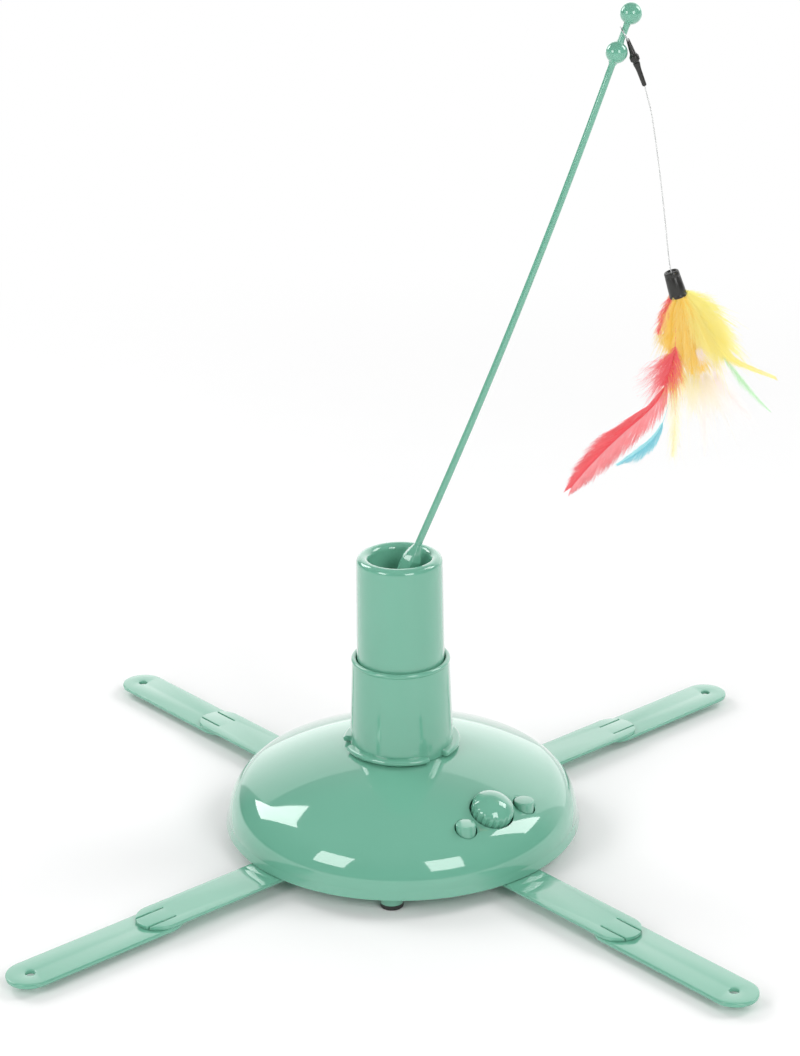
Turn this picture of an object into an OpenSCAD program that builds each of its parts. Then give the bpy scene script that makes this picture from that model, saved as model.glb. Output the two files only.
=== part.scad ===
// Motorized cat teaser: domed drive base on outrigger legs, stepped tower, leaning wand and feather lure.
// Millimetres, floor at z = 0, tower axis at x = y = 0, legs along the x and y axes.

/* [Dome] */
// Radius of the skirt's rim
rim_r = 90.4; // [82:0.1:110]
// Height of the rim above the floor
rim_z = 8.3; // [7.5:0.1:11]
// How far the skirt leans in above its rim
draft = 1.4; // [0.4:0.1:2.4]
// Height where the edge round begins
edge_z = 12.1; // [11:0.1:14]
// Height of the cap's pole above the floor
cap_top = 51.3; // [46:0.1:60]
// Wall of the dome
shell_wall = 2.4; // [1.6:0.1:3]
// Round between the skirt and the cap
edge_r = 24; // [16:0.5:26]
// Radius of the hole under the tower
neck_hole_r = 19.6; // [16:0.1:22]

/* [Base plate] */
// Underside of the base plate
plate_z = 8.1; // [7:0.1:10]
// Thickness of the base plate
plate_t = 2.2; // [1.6:0.1:4]
// Gap between the base plate and the skirt
plate_gap = 0.4; // [0.3:0.1:1]
// Distance of the feet from the axis
foot_r = 79.5; // [60:0.5:82]
// Radius of a foot
foot_peg_r = 5.85; // [4:0.05:8]
// Height of a rubber pad
pad_h = 2.6; // [1.5:0.1:5]
// Distance of the closing screws from the axis
close_r = 68; // [60:0.5:72]
// Radius of a closing screw's shank
screw_r = 1.3; // [1:0.1:2]
// Radius of a closing screw's head
screw_head_r = 2.6; // [2:0.1:3.5]
// Height of a screw head
screw_head_h = 1.6; // [1:0.1:2.4]

/* [Battery] */
// Radius of a cell
cell_r = 7.25; // [5:0.05:9]
// Length of a cell's can
cell_l = 49; // [40:0.5:52]
// Pitch of the cells
cell_pitch = 14.8; // [12:0.1:19]
// Position of the middle cell along x
cell_mid = -41.2; // [-46:0.1:-38]
// Wall of the battery box
box_wall = 1.6; // [1:0.1:2.5]

/* [Legs] */
// Width of a leg
leg_w = 23; // [16:0.5:30]
// Thickness of an inner leg
inner_t = 1.8; // [1.4:0.1:3]
// Thickness of an outer leg
outer_t = 2.2; // [1.4:0.1:3]
// Distance of the leg pivot from the axis
pivot_r = 154; // [130:0.5:190]
// Distance of the free hole from the axis
tip_hole_r = 227.4; // [190:0.1:280]
// Radius of the free hole
tip_bore = 2.3; // [1.5:0.1:4]
// Radius of the pivot boss
boss_r = 3; // [2:0.1:4]
// Start of an inner leg
leg_start = 66; // [64:0.5:70]

/* [Controls] */
// Direction of the control group
ctl_az = -1.25; // [-20:0.25:20]
// Distance of the knob from the axis
knob_at = 68.6; // [64:0.1:74]
// Radius of the knob
knob_r = 10.5; // [8:0.1:13]
// Height of the knob above the dome
knob_h = 8.9; // [5:0.1:14]
// Number of flutes
flutes = 20; // [8:1:36]
// Distance of the buttons from the axis
btn_at = 73.5; // [68:0.1:76]
// Angle between the knob and a button
btn_spread = 15; // [13:0.5:24]
// Radius of a button
btn_r = 4.9; // [3.5:0.1:6]
// Gap round a button, narrower than its keeping flange
btn_gap = 0.55; // [0.3:0.05:0.6]
// Height of the button tops
btn_top = 37.8; // [36:0.1:42]
// Travel of a button
btn_travel = 1.5; // [0.5:0.1:1.6]

/* [Tower] */
// Radius of the lower tube at its foot
low_r1 = 26.2; // [22:0.1:32]
// Radius of the lower tube under its lip
low_r2 = 24.4; // [20:0.1:30]
// Height of the lower tube's top
low_top = 97.4; // [80:0.1:120]
// Radius of the lugged flange
flange_r = 29.7; // [27:0.1:36]
// Thickness of the flange
flange_t = 3; // [2:0.1:5]
// Radius of the upper tube at the lip
up_r1 = 22.3; // [18:0.1:28]
// Radius of the upper tube under the rolled mouth
up_r2 = 21.5; // [18:0.1:27]
// Height of the rolled mouth's top
mouth_top = 151.2; // [130:0.1:190]
// Radius of the roll at the mouth
roll_r = 3.1; // [2:0.1:4.5]
// Radius of the open throat
throat_r = 15.2; // [13:0.1:20]
// Wall of the tower tubes
tube_wall = 2; // [1.2:0.1:3]

/* [Drive] */
// Gear module
gear_m = 0.8; // [0.6:0.05:1]
// Teeth of each large wheel
big_n = 36; // [30:1:40]
// Teeth of each small wheel
small_n = 12; // [10:1:16]
// Width of a wheel
gear_w = 4; // [2:0.5:5]
// Backlash of a tooth flank
backlash = 0.12; // [0.05:0.01:0.3]
// Radius of the drive shaft
shaft_r = 3; // [2:0.1:4]
// Radius of an axle pin
pin_r = 1; // [0.8:0.1:1.5]
// Radius of the motor can
motor_r = 10; // [8:0.1:11]
// Length of the motor can
motor_l = 21; // [15:0.5:22]

/* [Wand] */
// Direction of the wand's lean
lean_az = 49.2; // [0:0.1:360]
// Lean at the foot of the rod
lean_1 = 23.4; // [5:0.1:40]
// Lean at the tip of the rod
lean_2 = 19; // [0:0.1:40]
// Distance of the rod's foot from the axis
rod_x = 9.2; // [4:0.1:12]
// Height of the rod's foot
rod_z = 156.8; // [140:0.1:200]
// Radius of the rod
rod_r = 1.75; // [1:0.05:3]
// Length of the rod
rod_l = 259; // [150:0.5:400]
// Radius of each ball
ball_r = 5.15; // [3:0.05:9]
// Distance between the balls
ball_gap = 18.8; // [14:0.1:30]
// Corner radius of the six-sided plug
plug_r = 5.4; // [4:0.1:7]

/* [Lure] */
// Radius of the wire loop
loop_r = 3.65; // [3:0.05:5]
// Drop of the loop's middle below the neck's middle
loop_drop = 0.35; // [0:0.05:1]
// Radius of the loop's wire
wire_r = 0.3; // [0.2:0.05:0.8]
// Lean of the swivel
swivel_lean = 21; // [0:0.5:40]
// Radius of the line
line_r = 0.3; // [0.2:0.05:1]
// Length of the ferrule
ferrule_l = 13; // [8:0.5:20]
// Lean of the ferrule
ferrule_lean = 17.5; // [0:0.5:40]
// Thickness of a feather
feather_t = 0.6; // [0.4:0.1:2]

/* [Fits] */
// Clearance of a turning or sliding fit
run = 0.05; // [0.02:0.01:0.1]
// Clearance of a seated fit
seat = 0.05; // [0.02:0.01:0.1]
// Clearance between parts that must not rub
free = 0.3; // [0.3:0.05:0.8]

/* [Hidden] */
$fn = 96;
// Skin colours
jade = "#7fbfa5";
black = "#1d1d1f";
steel = "#b9bcc0";
white_plastic = "#e9e6dc";
brass = "#c9a44e";

// Dome profile: centres of its arcs
wall_r = rim_r - draft;
edge_c = wall_r - edge_r;
edge_h = cap_top - edge_z;
cap_r = (pow(edge_c, 2) + pow(edge_h, 2) - pow(edge_r, 2)) / (2 * (edge_h - edge_r));
cap_z = cap_top - cap_r;
function cap_h(r, e = 0) = cap_z + sqrt(pow(cap_r - e, 2) - r * r);

// Base plate and battery box
plate_top = plate_z + plate_t;
plate_r = wall_r - shell_wall - plate_gap;
pad_top = plate_top + 2;
peg_hole_r = 2;
door_t = 1.4;
cell_z = plate_z + door_t + 0.4 + cell_r;
box_x1 = cell_mid - cell_pitch - cell_r - free;
box_x2 = cell_mid + cell_pitch + cell_r + free;
box_y = cell_l / 2 + 4;
box_top = cell_z + cell_r + 0.4;

// Leg levels
inner_z = plate_z - inner_t;
outer_z = inner_z - run - outer_t;
peg_r = 72;
peg_y = 7;
slit_y = 5.3;
slit_w = 0.8;

// Controls
knob_tilt = asin(knob_at / cap_r);
knob_z = cap_h(knob_at);
board_z = 20;
board_t = 1.6;
board_top = board_z + board_t;
board_mid = 60;
board_fix = [for (x = [-10, 10], y = [-28, 28]) [board_mid + x, y]];
pot_deep = 11;
pot_pin_in = 8;
pot_pin_z = knob_z - pot_deep * cos(knob_tilt)
    + (pot_pin_in - pot_deep * sin(knob_tilt)) * tan(knob_tilt);
btn_low = board_top + 3.6 + btn_travel + 0.2;
function btn_xy(s) = btn_at * [cos(ctl_az + s * btn_spread), sin(ctl_az + s * btn_spread)];

// Gear train levels and centres
gear_c = gear_m * (big_n + small_n) / 2;
level_a = plate_top + 2.8;
level_b = level_a + gear_w + 0.5;
level_c = level_b + gear_w + 0.5;
cover_z = level_c + gear_w + 1;
shelf_z = level_a + gear_w + 0.6;
c_out = [0, 0];
dir_2 = -90;
dir_1 = -20;
dir_m = 50;
c_2 = c_out + gear_c * [cos(dir_2), sin(dir_2)];
c_1 = c_2 + gear_c * [cos(dir_1), sin(dir_1)];
c_m = c_1 + gear_c * [cos(dir_m), sin(dir_m)];
posts = [[-9, -37], [17, 13], [36, -39]];
motor_fix_r = 8;
shelf_r = 12.2;
shelf_post_r = 2.2;
shelf_posts = [for (s = [-45, 45]) c_m + (shelf_r - shelf_post_r - 0.4) * [cos(dir_m + s), sin(dir_m + s)]];

// Tower levels
neck_r1 = neck_hole_r - 0.6;
neck_z = cap_top - 7.9;
lug_r = neck_hole_r + 3.4;
lug_w = 10;
lug_t = 2.4;
lip_r = 1.3;
seat_z = cap_h(low_r1);
flange_z = seat_z + 0.4;
ledge_z = 70;
low_in = up_r1 + free;
roll_c = throat_r + roll_r;
roll_z = mouth_top - roll_r;
web_z = 108;
web_t = 4;
chamber_r = throat_r - 1.3;
rotor_r = chamber_r - 0.7;
rotor_z1 = web_z + web_t + 0.8;
rotor_z2 = 139;
shaft_top = 121;

// Wand geometry in its own upright plane, x along the lean
plug_deep = 6.06;
spigot_l = 7;
plug_l = (rod_z - rotor_z2 + plug_deep) / cos(lean_1);
rod_R = rod_l / ((lean_1 - lean_2) * PI / 180);
rod_c = [rod_x - rod_R * cos(lean_1), rod_z + rod_R * sin(lean_1)];
ball_1 = rod_c + rod_R * [cos(lean_2), -sin(lean_2)];
tip_dir = [sin(lean_2 + 0.5), cos(lean_2 + 0.5)];
ball_2 = ball_1 + ball_gap * tip_dir;
neck_mid = (ball_1 + ball_2) / 2;
neck_r = 1.5;
loop_tilt = -lean_2 - 41;
loop_dir = [cos(loop_tilt), sin(loop_tilt)];
loop_mid = neck_mid + loop_drop * loop_dir;
eye = loop_mid + loop_r * loop_dir;
hang = [sin(swivel_lean), -cos(swivel_lean)];
nose_l = 0.8;
collar_r = 2.25;
sleeve_1 = 11;
sleeve_2 = 22.5;
sleeve_end = eye + sleeve_2 * hang;
fer_top = [130.4, 294.1];
fer_dir = [sin(ferrule_lean), -cos(ferrule_lean)];
fer_end = fer_top + ferrule_l * fer_dir;

// Line path: from inside the sleeve to inside the ferrule, a gentle hang
line_pts = [sleeve_end - 4 * hang, sleeve_end - 1 * hang, sleeve_end + [1.35, -5], [119.8, 368],
            [123.5, 345], [126.6, 322], [128.9, 303], fer_top + [-0.35, 1.6], fer_top + 2 * fer_dir];

// Involute wheel outline
function inv_pt(rb, t) = rb * [cos(t) + t * PI / 180 * sin(t), sin(t) - t * PI / 180 * cos(t)];
function turn(p, a) = [p[0] * cos(a) - p[1] * sin(a), p[0] * sin(a) + p[1] * cos(a)];
function wheel_pts(n) =
    let (rp = n * gear_m / 2, rb = rp * cos(20), ra = rp + 0.9 * gear_m, rf = rp - 1.15 * gear_m,
         tp = sqrt(pow(rp / rb, 2) - 1) * 180 / PI, ta = sqrt(pow(ra / rb, 2) - 1) * 180 / PI,
         half = 90 / n - backlash / rp * 90 / PI, lead = tp - 20)
    [for (i = [0 : n - 1]) let (c = 360 * i / n) each concat(
        [turn([min(rf, rb - 0.05), 0], c - half - lead)],
        [for (k = [0 : 2]) turn(inv_pt(rb, ta * k / 2), c - half - lead)],
        [for (k = [2 : -1 : 0]) let (q = inv_pt(rb, ta * k / 2)) turn([q[0], -q[1]], c + half + lead)],
        [turn([min(rf, rb - 0.05), 0], c + half + lead)])];

// Helpers
module lean() { rotate([0, 0, lean_az]) children(); }
module upright() { rotate([90, 0, 0]) children(); }
module along(p, d) { translate([p[0], 0, p[1]]) rotate([0, atan2(d[0], d[1]), 0]) children(); }
module at_knob() {
    rotate([0, 0, ctl_az]) translate([knob_at, 0, knob_z]) rotate([0, knob_tilt, 0]) children();
}
module four() { for (a = [45 : 90 : 315]) rotate([0, 0, a]) children(); }
function unit(v) = v / norm(v);
function tube_dir(p, i) = unit(p[min(i + 1, len(p) - 1)] - p[max(i - 1, 0)]);
function tube_ring(p, i, r) = let (d = tube_dir(p, i), u = unit(cross(d,
    [0.3, 0.2, 0.93])), w = cross(d, u))
    [for (k = [0 : 7]) p[i] + r * cos(k * 45) * u + r * sin(k * 45) * w];
module wire(p, r) {
    n = len(p);
    polyhedron(points = [for (i = [0 : n - 1]) each tube_ring(p, i, r)],
        faces = concat([[for (k = [7 : -1 : 0]) k]], [[for (k = [0 : 7]) (n - 1) * 8 + k]],
            [for (i = [0 : n - 2], k = [0 : 7])
                each [[i * 8 + k, i * 8 + (k + 1) % 8, (i + 1) * 8 + k],
                      [i * 8 + (k + 1) % 8, (i + 1) * 8 + (k + 1) % 8, (i + 1) * 8 + k]]]),
                      convexity = 4);
}
module strip(a, b, w) {
    v = b - a;
    translate(a) rotate([0, 0, atan2(v[1], v[0])]) translate([0, -w / 2]) square([norm(v), w]);
}
// Dome profile from the rim to the pole, moved in by e
edge_a = atan2(edge_z - cap_z, edge_c);
function arc(c, r, a1, a2, n) = [for (i = [0 : n]) let (a = a1 + (a2 - a1) * i / n) c + r * [cos(a), sin(a)]];
function dome_pts(e, low) = concat(
    [[0, low], [rim_r - e, low]],
    arc([edge_c, edge_z], edge_r - e, 0, edge_a, 18),
    arc([0, cap_z], cap_r - e, edge_a + 1, 90, 28));
module dome_2d(e, low) { polygon(dome_pts(e, low)); }

// Housing
module dome_shell() {
    color(jade) difference() {
        union() {
            rotate_extrude() difference() {
                dome_2d(0, rim_z);
                dome_2d(shell_wall, rim_z - 1);
            }
            intersection() {
                four() translate([close_r, 0, pad_top]) cylinder(r = 3.6, h = 40);
                rotate_extrude() dome_2d(shell_wall / 2, rim_z);
            }
        }
        cylinder(r = neck_hole_r, h = 80);
        translate([0, 0, seat_z]) cylinder(r = low_r1 + 0.8, h = 20);
        for (a = [0 : 120 : 240]) rotate([0, 0, a]) translate([0, -lug_w / 2 - 0.4, 0])
            cube([lug_r + 0.6, lug_w + 0.8, 80]);
        four() translate([close_r, 0, 0]) cylinder(r = screw_r - 0.2, h = 26);
        at_knob() translate([0, 0, -14]) cylinder(r = knob_r + 0.6, h = 40);
        for (s = [-1, 1]) translate([btn_xy(s)[0], btn_xy(s)[1], 24]) cylinder(r = btn_r + btn_gap, h = 30);
    }
}
module base_plate() {
    color(jade) difference() {
        union() {
            translate([0, 0, plate_z]) cylinder(r = plate_r, h = plate_t);
            four() translate([foot_r, 0, pad_h]) cylinder(r = foot_peg_r, h = plate_z - pad_h + 0.5);
            four() translate([close_r, 0, plate_z]) cylinder(r = 5, h = pad_top - plate_z);
            for (p = board_fix) translate([p[0], p[1], plate_z])
                cylinder(r = 2.6, h = board_z - plate_z);
            translate([box_x1 - box_wall, -box_y - box_wall, plate_z])
                cube([box_x2 - box_x1 + 2 * box_wall, 2 * (box_y + box_wall),
                    box_top + box_wall - plate_z]);
        }
        translate([box_x1, -box_y, plate_z + door_t])
            cube([box_x2 - box_x1, 2 * box_y, box_top - plate_z - door_t]);
        translate([box_x1 + 1.2, -box_y + 1.2, plate_z - 1])
            cube([box_x2 - box_x1 - 2.4, 2 * box_y - 2.4, 6]);
        translate([cell_mid - 6, box_y - 2, plate_z - 1]) cube([12, 6.3, 1 + door_t]);
        translate([cell_mid, box_y + 2.2, plate_z - 1]) cylinder(r = 0.9, h = 12);
        for (y = [-12, 12]) translate([box_x2 - 0.5, y, box_top - 4]) rotate([0, 90, 0])
            cylinder(r = 1.2, h = 4);
        four() translate([foot_r, 0, 0]) cylinder(r = 2.4 + seat, h = 7);
        four() translate([close_r, 0, 0]) cylinder(r = screw_r + 0.2, h = 30);
        four() translate([close_r, 0, 0]) cylinder(r = screw_head_r + 0.2, h = plate_z + 1.8);
        for (p = board_fix) translate([p[0], p[1], 12]) cylinder(r = 0.8, h = 10);
        for (a = [0 : 90 : 270], y = [-peg_y, peg_y])
            rotate([0, 0, a]) translate([peg_r, y, 0]) cylinder(r = peg_hole_r + seat, h = 30);
        for (p = posts) translate([p[0], p[1], plate_z + 0.6]) cylinder(r = 1.2, h = 10);
    }
}
module battery_door() {
    color(jade) difference() {
        union() {
            translate([box_x1 + 1.5, -box_y + 1.5, plate_z])
                cube([box_x2 - box_x1 - 3, 2 * box_y - 3, door_t]);
            translate([cell_mid - 5.7, box_y - 2, plate_z]) cube([11.4, 6, door_t]);
        }
        translate([cell_mid, box_y + 2.2, plate_z - 1]) cylinder(r = 1.3, h = 6);
        for (i = [-3 : 3]) translate([cell_mid - 12, -12 + i * 2.6, plate_z - 0.4]) cube([24, 1.2, 0.8]);
    }
}
module door_screw() {
    color(steel) translate([cell_mid, box_y + 2.2, 0]) {
        translate([0, 0, plate_z - 1.2]) cylinder(r = 2.2, h = 1.2);
        translate([0, 0, plate_z - 0.2]) cylinder(r = 0.88, h = 5.6);
    }
}
module battery_cells() {
    color("#3b4a57") for (i = [-1, 0, 1]) translate([cell_mid + i * cell_pitch, 0, cell_z])
        rotate([i == 0 ? -90 : 90, 0, 0]) {
            translate([0, 0, -cell_l / 2 + 0.4]) cylinder(r = cell_r, h = cell_l - 0.8);
            translate([0, 0, cell_l / 2 - 0.8]) cylinder(r = 2.75, h = 1.8);
            translate([0, 0, -cell_l / 2]) cylinder(r = 5.6, h = 1);
        }
}
module battery_contacts() {
    color(steel) for (i = [-1, 0, 1], s = [-1, 1])
        translate([cell_mid + i * cell_pitch, s * (box_y - 0.45), cell_z]) {
        translate([-5, -0.35, -5]) cube([10, 0.7, 10]);
        if ((i == 0) == (s < 0)) rotate([s * 90, 0, 0]) cylinder(r1 = 4.2, r2 = 2.6, h = 3.2);
        else rotate([s * 90, 0, 0]) cylinder(r = 2.2, h = 2);
    }
}
module foot_pads() {
    color(black) four() translate([foot_r, 0, 0]) {
        cylinder(r = foot_peg_r - 0.15, h = pad_h);
        cylinder(r = 2.4, h = 6.6);
    }
}
module base_screws() {
    color(steel) four() translate([close_r, 0, 0]) difference() {
        union() {
            translate([0, 0, plate_z + 1.8 - screw_head_h]) cylinder(r = screw_head_r, h = screw_head_h);
            translate([0, 0, plate_z + 1]) cylinder(r = screw_r - 0.22, h = 13);
        }
        for (a = [0, 90]) rotate([0, 0, a]) translate([-1.6, -0.35, plate_z]) cube([3.2, 0.7, 0.9]);
    }
}

// Controls
module circuit_board() {
    color("#2f6b45") difference() {
        union() {
            intersection() {
                translate([board_mid - 14, -30, board_z]) cube([28, 60, board_t]);
                translate([0, 0, board_z]) cylinder(r = 79.5, h = board_t);
            }
            translate([board_mid - 10, 8, board_top - 0.01]) cube([5, 8, 1.6]);
            translate([board_mid - 9, -12, board_top - 0.01]) cylinder(r = 2.5, h = 6);
            translate([board_mid - 5, -24, board_top - 0.01]) cube([4, 5, 2]);
            translate([board_mid - 2, 20, board_top - 0.01]) cube([2, 1.2, 0.6]);
        }
        for (p = board_fix) translate([p[0], p[1], 0]) cylinder(r = 1.2, h = 40);
    }
}
module board_screws() {
    color(steel) for (p = board_fix) translate([p[0], p[1], 0]) {
        translate([0, 0, board_top]) cylinder(r = 2, h = 1.3);
        translate([0, 0, 14]) cylinder(r = 0.78, h = board_top - 13.5);
    }
}
module tact_switches() {
    color("#35373a") for (s = [-1, 1]) translate([btn_xy(s)[0], btn_xy(s)[1], board_top]) {
        translate([-3, -3, 0]) cube([6, 6, 3]);
        cylinder(r = 1.7, h = 3.6);
    }
}
module speed_pot() {
    color("#4a4d52") difference() {
        union() {
            at_knob() translate([0, 0, -pot_deep]) cylinder(r = 7.6, h = 5.2);
            rotate([0, 0, ctl_az]) for (y = [-3, 0, 3])
                translate([knob_at - pot_pin_in, y, board_top])
                cylinder(r = 0.5, h = pot_pin_z + 1 - board_top);
        }
        at_knob() translate([0, 0, -10]) cylinder(r = shaft_r + run, h = 9);
    }
}
module pot_shaft() {
    color(steel) at_knob() translate([0, 0, -9.8]) cylinder(r = shaft_r, h = 13);
}
module speed_knob() {
    color(jade) at_knob() difference() {
        rotate_extrude() intersection() {
            translate([0, -2.5]) square([knob_r, knob_h + 3]);
            translate([0, knob_h - 13.2]) circle(r = 13.2);
        }
        for (i = [0 : flutes - 1]) rotate([0, 0, i * 360 / flutes])
            translate([knob_r + 0.25, 0, -3]) cylinder(r = 0.85, h = 8.2);
        translate([0, 0, -3]) cylinder(r = shaft_r + seat, h = 6.3);
    }
}
module push_button(s) {
    color(jade) translate([btn_xy(s)[0], btn_xy(s)[1], 0]) {
        translate([0, 0, btn_low]) cylinder(r = btn_r, h = btn_top - btn_low - 0.6);
        translate([0, 0, btn_top - 0.6]) cylinder(r1 = btn_r, r2 = btn_r - 0.5, h = 0.6);
        translate([0, 0, btn_low]) cylinder(r = btn_r + 0.7, h = 1.3);
    }
}
module timer_button() { push_button(-1); }
module power_button() { push_button(1); }

// Gearbox and motor
module gearbox_base() {
    color(white_plastic) difference() {
        union() {
            translate([0, 0, plate_top]) linear_extrude(2.4) {
                for (c = [c_out, c_2, c_1]) translate(c) circle(r = 7);
                for (p = posts) translate(p) circle(r = 3.4);
                for (p = shelf_posts) translate(p) circle(r = shelf_post_r + 0.4);
                strip(c_out, c_2, 11);
                strip(c_2, c_1, 11);
                strip(c_2, posts[0], 6);
                strip(c_out, posts[1], 6);
                strip(c_1, posts[2], 6);
                strip(c_out, shelf_posts[1], 6);
                strip(c_1, shelf_posts[0], 6);
            }
            for (p = posts) translate([p[0], p[1], plate_top]) cylinder(r = 2.6, h = cover_z - plate_top);
            for (p = shelf_posts) translate([p[0], p[1], plate_top])
                cylinder(r = shelf_post_r, h = shelf_z - plate_top + 0.5);
            translate([c_m[0], c_m[1], shelf_z]) cylinder(r = shelf_r, h = 2);
        }
        for (p = posts) translate([p[0], p[1], 0]) cylinder(r = 1.35, h = 60);
        translate([0, 0, plate_top + 1]) cylinder(r = shaft_r + run, h = 10);
        for (c = [c_2, c_1]) translate([c[0], c[1], plate_top + 0.6]) cylinder(r = pin_r + 0.02, h = 10);
        translate([c_m[0], c_m[1], shelf_z - 1]) cylinder(r = 3.1, h = 5);
        for (a = [dir_m - 90, dir_m + 90])
            translate([c_m[0] + motor_fix_r * cos(a), c_m[1] + motor_fix_r * sin(a), shelf_z - 1])
            cylinder(r = 1.1, h = 5);
    }
}
module gearbox_cover() {
    color(white_plastic) difference() {
        translate([0, 0, cover_z]) linear_extrude(2) {
            translate(c_out) circle(r = 8);
            for (c = [c_2, c_1]) translate(c) circle(r = 5);
            for (p = posts) translate(p) circle(r = 4);
            strip(c_out, c_2, 9);
            strip(c_2, c_1, 8);
            strip(c_2, posts[0], 6);
            strip(c_out, posts[1], 6);
            strip(c_1, posts[2], 6);
        }
        translate([0, 0, cover_z - 1]) cylinder(r = 5 + seat, h = 8);
        for (c = [c_2, c_1]) translate([c[0], c[1], cover_z - 1]) cylinder(r = pin_r + 0.02, h = 8);
        for (p = posts) translate([p[0], p[1], cover_z - 1]) cylinder(r = 1.35, h = 8);
    }
}
module gearbox_screws() {
    color(steel) for (p = posts) translate([p[0], p[1], 0]) {
        translate([0, 0, cover_z + 2]) cylinder(r = 2.4, h = screw_head_h);
        translate([0, 0, plate_z + 0.8]) cylinder(r = 1.18, h = cover_z + 1.5 - plate_z);
    }
}
module motor_can() {
    color(steel) translate([c_m[0], c_m[1], 0]) difference() {
        union() {
            translate([0, 0, shelf_z + 2]) cylinder(r = motor_r, h = motor_l);
            translate([0, 0, shelf_z + 0.2]) cylinder(r = 3, h = 2);
            translate([0, 0, shelf_z + 1.9 + motor_l]) cylinder(r = 3, h = 1.6);
            for (s = [-1, 1]) translate([s * 5.5 - 1, -0.3, shelf_z + 1.9 + motor_l]) cube([2, 0.6, 2.4]);
        }
        cylinder(r = pin_r + run, h = shelf_z + 8);
        for (a = [dir_m - 90, dir_m + 90]) translate([motor_fix_r * cos(a), motor_fix_r * sin(a), 0])
            cylinder(r = 0.9, h = shelf_z + 5);
    }
}
module motor_screws() {
    color(steel) for (a = [dir_m - 90, dir_m + 90])
        translate([c_m[0] + motor_fix_r * cos(a), c_m[1] + motor_fix_r * sin(a), 0]) {
        translate([0, 0, shelf_z - 1.1]) cylinder(r = 1.7, h = 1.1);
        translate([0, 0, shelf_z - 0.5]) cylinder(r = 0.87, h = 4.8);
    }
}
module motor_shaft() {
    color(steel) translate([c_m[0], c_m[1], level_a - 0.2])
        cylinder(r = pin_r, h = shelf_z + 7 - level_a);
}
module motor_pinion() {
    color(brass) difference() {
        translate([c_m[0], c_m[1], level_a]) rotate([0, 0, dir_m + 180])
            linear_extrude(gear_w) polygon(wheel_pts(small_n));
        translate([c_m[0], c_m[1], 0]) cylinder(r = pin_r + 0.02, h = 60);
    }
}
module compound(c, z, to_drive, to_next) {
    difference() {
        union() {
            translate([c[0], c[1], z]) rotate([0, 0, to_drive + 180 / big_n])
                linear_extrude(gear_w) polygon(wheel_pts(big_n));
            translate([c[0], c[1], z + gear_w - 0.01]) cylinder(r = gear_m * small_n / 2 - 1.2, h = 0.52);
            translate([c[0], c[1], z + gear_w + 0.5]) rotate([0, 0, to_next]) linear_extrude(gear_w)
                polygon(wheel_pts(small_n));
        }
        translate([c[0], c[1], 0]) cylinder(r = pin_r + run, h = 60);
        for (a = [0 : 60 : 300]) translate([c[0], c[1], z - 1]) rotate([0, 0, a]) translate([9.4, 0, 0])
            cylinder(r = 2.4, h = gear_w + 1.2);
    }
}
module first_gear() { color(white_plastic) compound(c_1, level_a, dir_m, dir_1 + 180); }
module second_gear() { color(white_plastic) compound(c_2, level_b, dir_1, dir_2 + 180); }
module axle_pins() {
    color(steel) for (c = [c_1, c_2]) translate([c[0], c[1], plate_top + 0.7])
        cylinder(r = pin_r, h = cover_z + 1.8 - plate_top - 0.7);
}
module output_gear() {
    color(white_plastic) difference() {
        union() {
            translate([0, 0, level_c]) rotate([0, 0, dir_2 + 180 / big_n])
                linear_extrude(gear_w) polygon(wheel_pts(big_n));
            translate([0, 0, level_c]) cylinder(r = 5, h = gear_w + 0.4);
        }
        cylinder(r = shaft_r + seat, h = 60);
    }
}
module drive_shaft() {
    color(steel) translate([0, 0, plate_top + 1.2])
        cylinder(r = shaft_r, h = shaft_top - plate_top - 1.2);
}
module shaft_bushings() {
    color(brass) for (z = [cover_z, web_z]) translate([0, 0, z]) difference() {
        cylinder(r = 5, h = z == web_z ? web_t : 2.6);
        translate([0, 0, -1]) cylinder(r = shaft_r + run, h = 12);
    }
}

// Tower
module tower_lower() {
    color(jade) difference() {
        union() {
            translate([0, 0, seat_z]) cylinder(r1 = low_r1, r2 = low_r2, h = low_top - lip_r - seat_z);
            translate([0, 0, low_top - lip_r]) rotate_extrude() translate([low_r2 - 0.8, 0])
                circle(r = lip_r);
            for (a = [58.3 : 120 : 300]) rotate([0, 0, a - 49]) rotate_extrude(angle = 98) union() {
                translate([low_r1 - 2, flange_z])
                    square([flange_r - low_r1 + 2 - flange_t / 2, flange_t]);
                translate([flange_r - flange_t / 2, flange_z + flange_t / 2]) circle(r = flange_t / 2);
            }
            translate([0, 0, neck_z]) cylinder(r = neck_r1, h = seat_z - neck_z + 0.5);
            for (a = [60 : 120 : 300]) rotate([0, 0, a]) intersection() {
                translate([neck_r1 - 1, -lug_w / 2, neck_z + 0.3]) cube([lug_r, lug_w, lug_t]);
                translate([0, 0, neck_z]) cylinder(r = lug_r, h = lug_t + 1);
            }
        }
        translate([0, 0, ledge_z]) cylinder(r = low_in, h = 60);
        translate([0, 0, seat_z + 2.4]) cylinder(r = low_in - 1.8, h = 60);
        translate([0, 0, neck_z - 1]) cylinder(r = neck_r1 - tube_wall, h = 30);
    }
}
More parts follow.
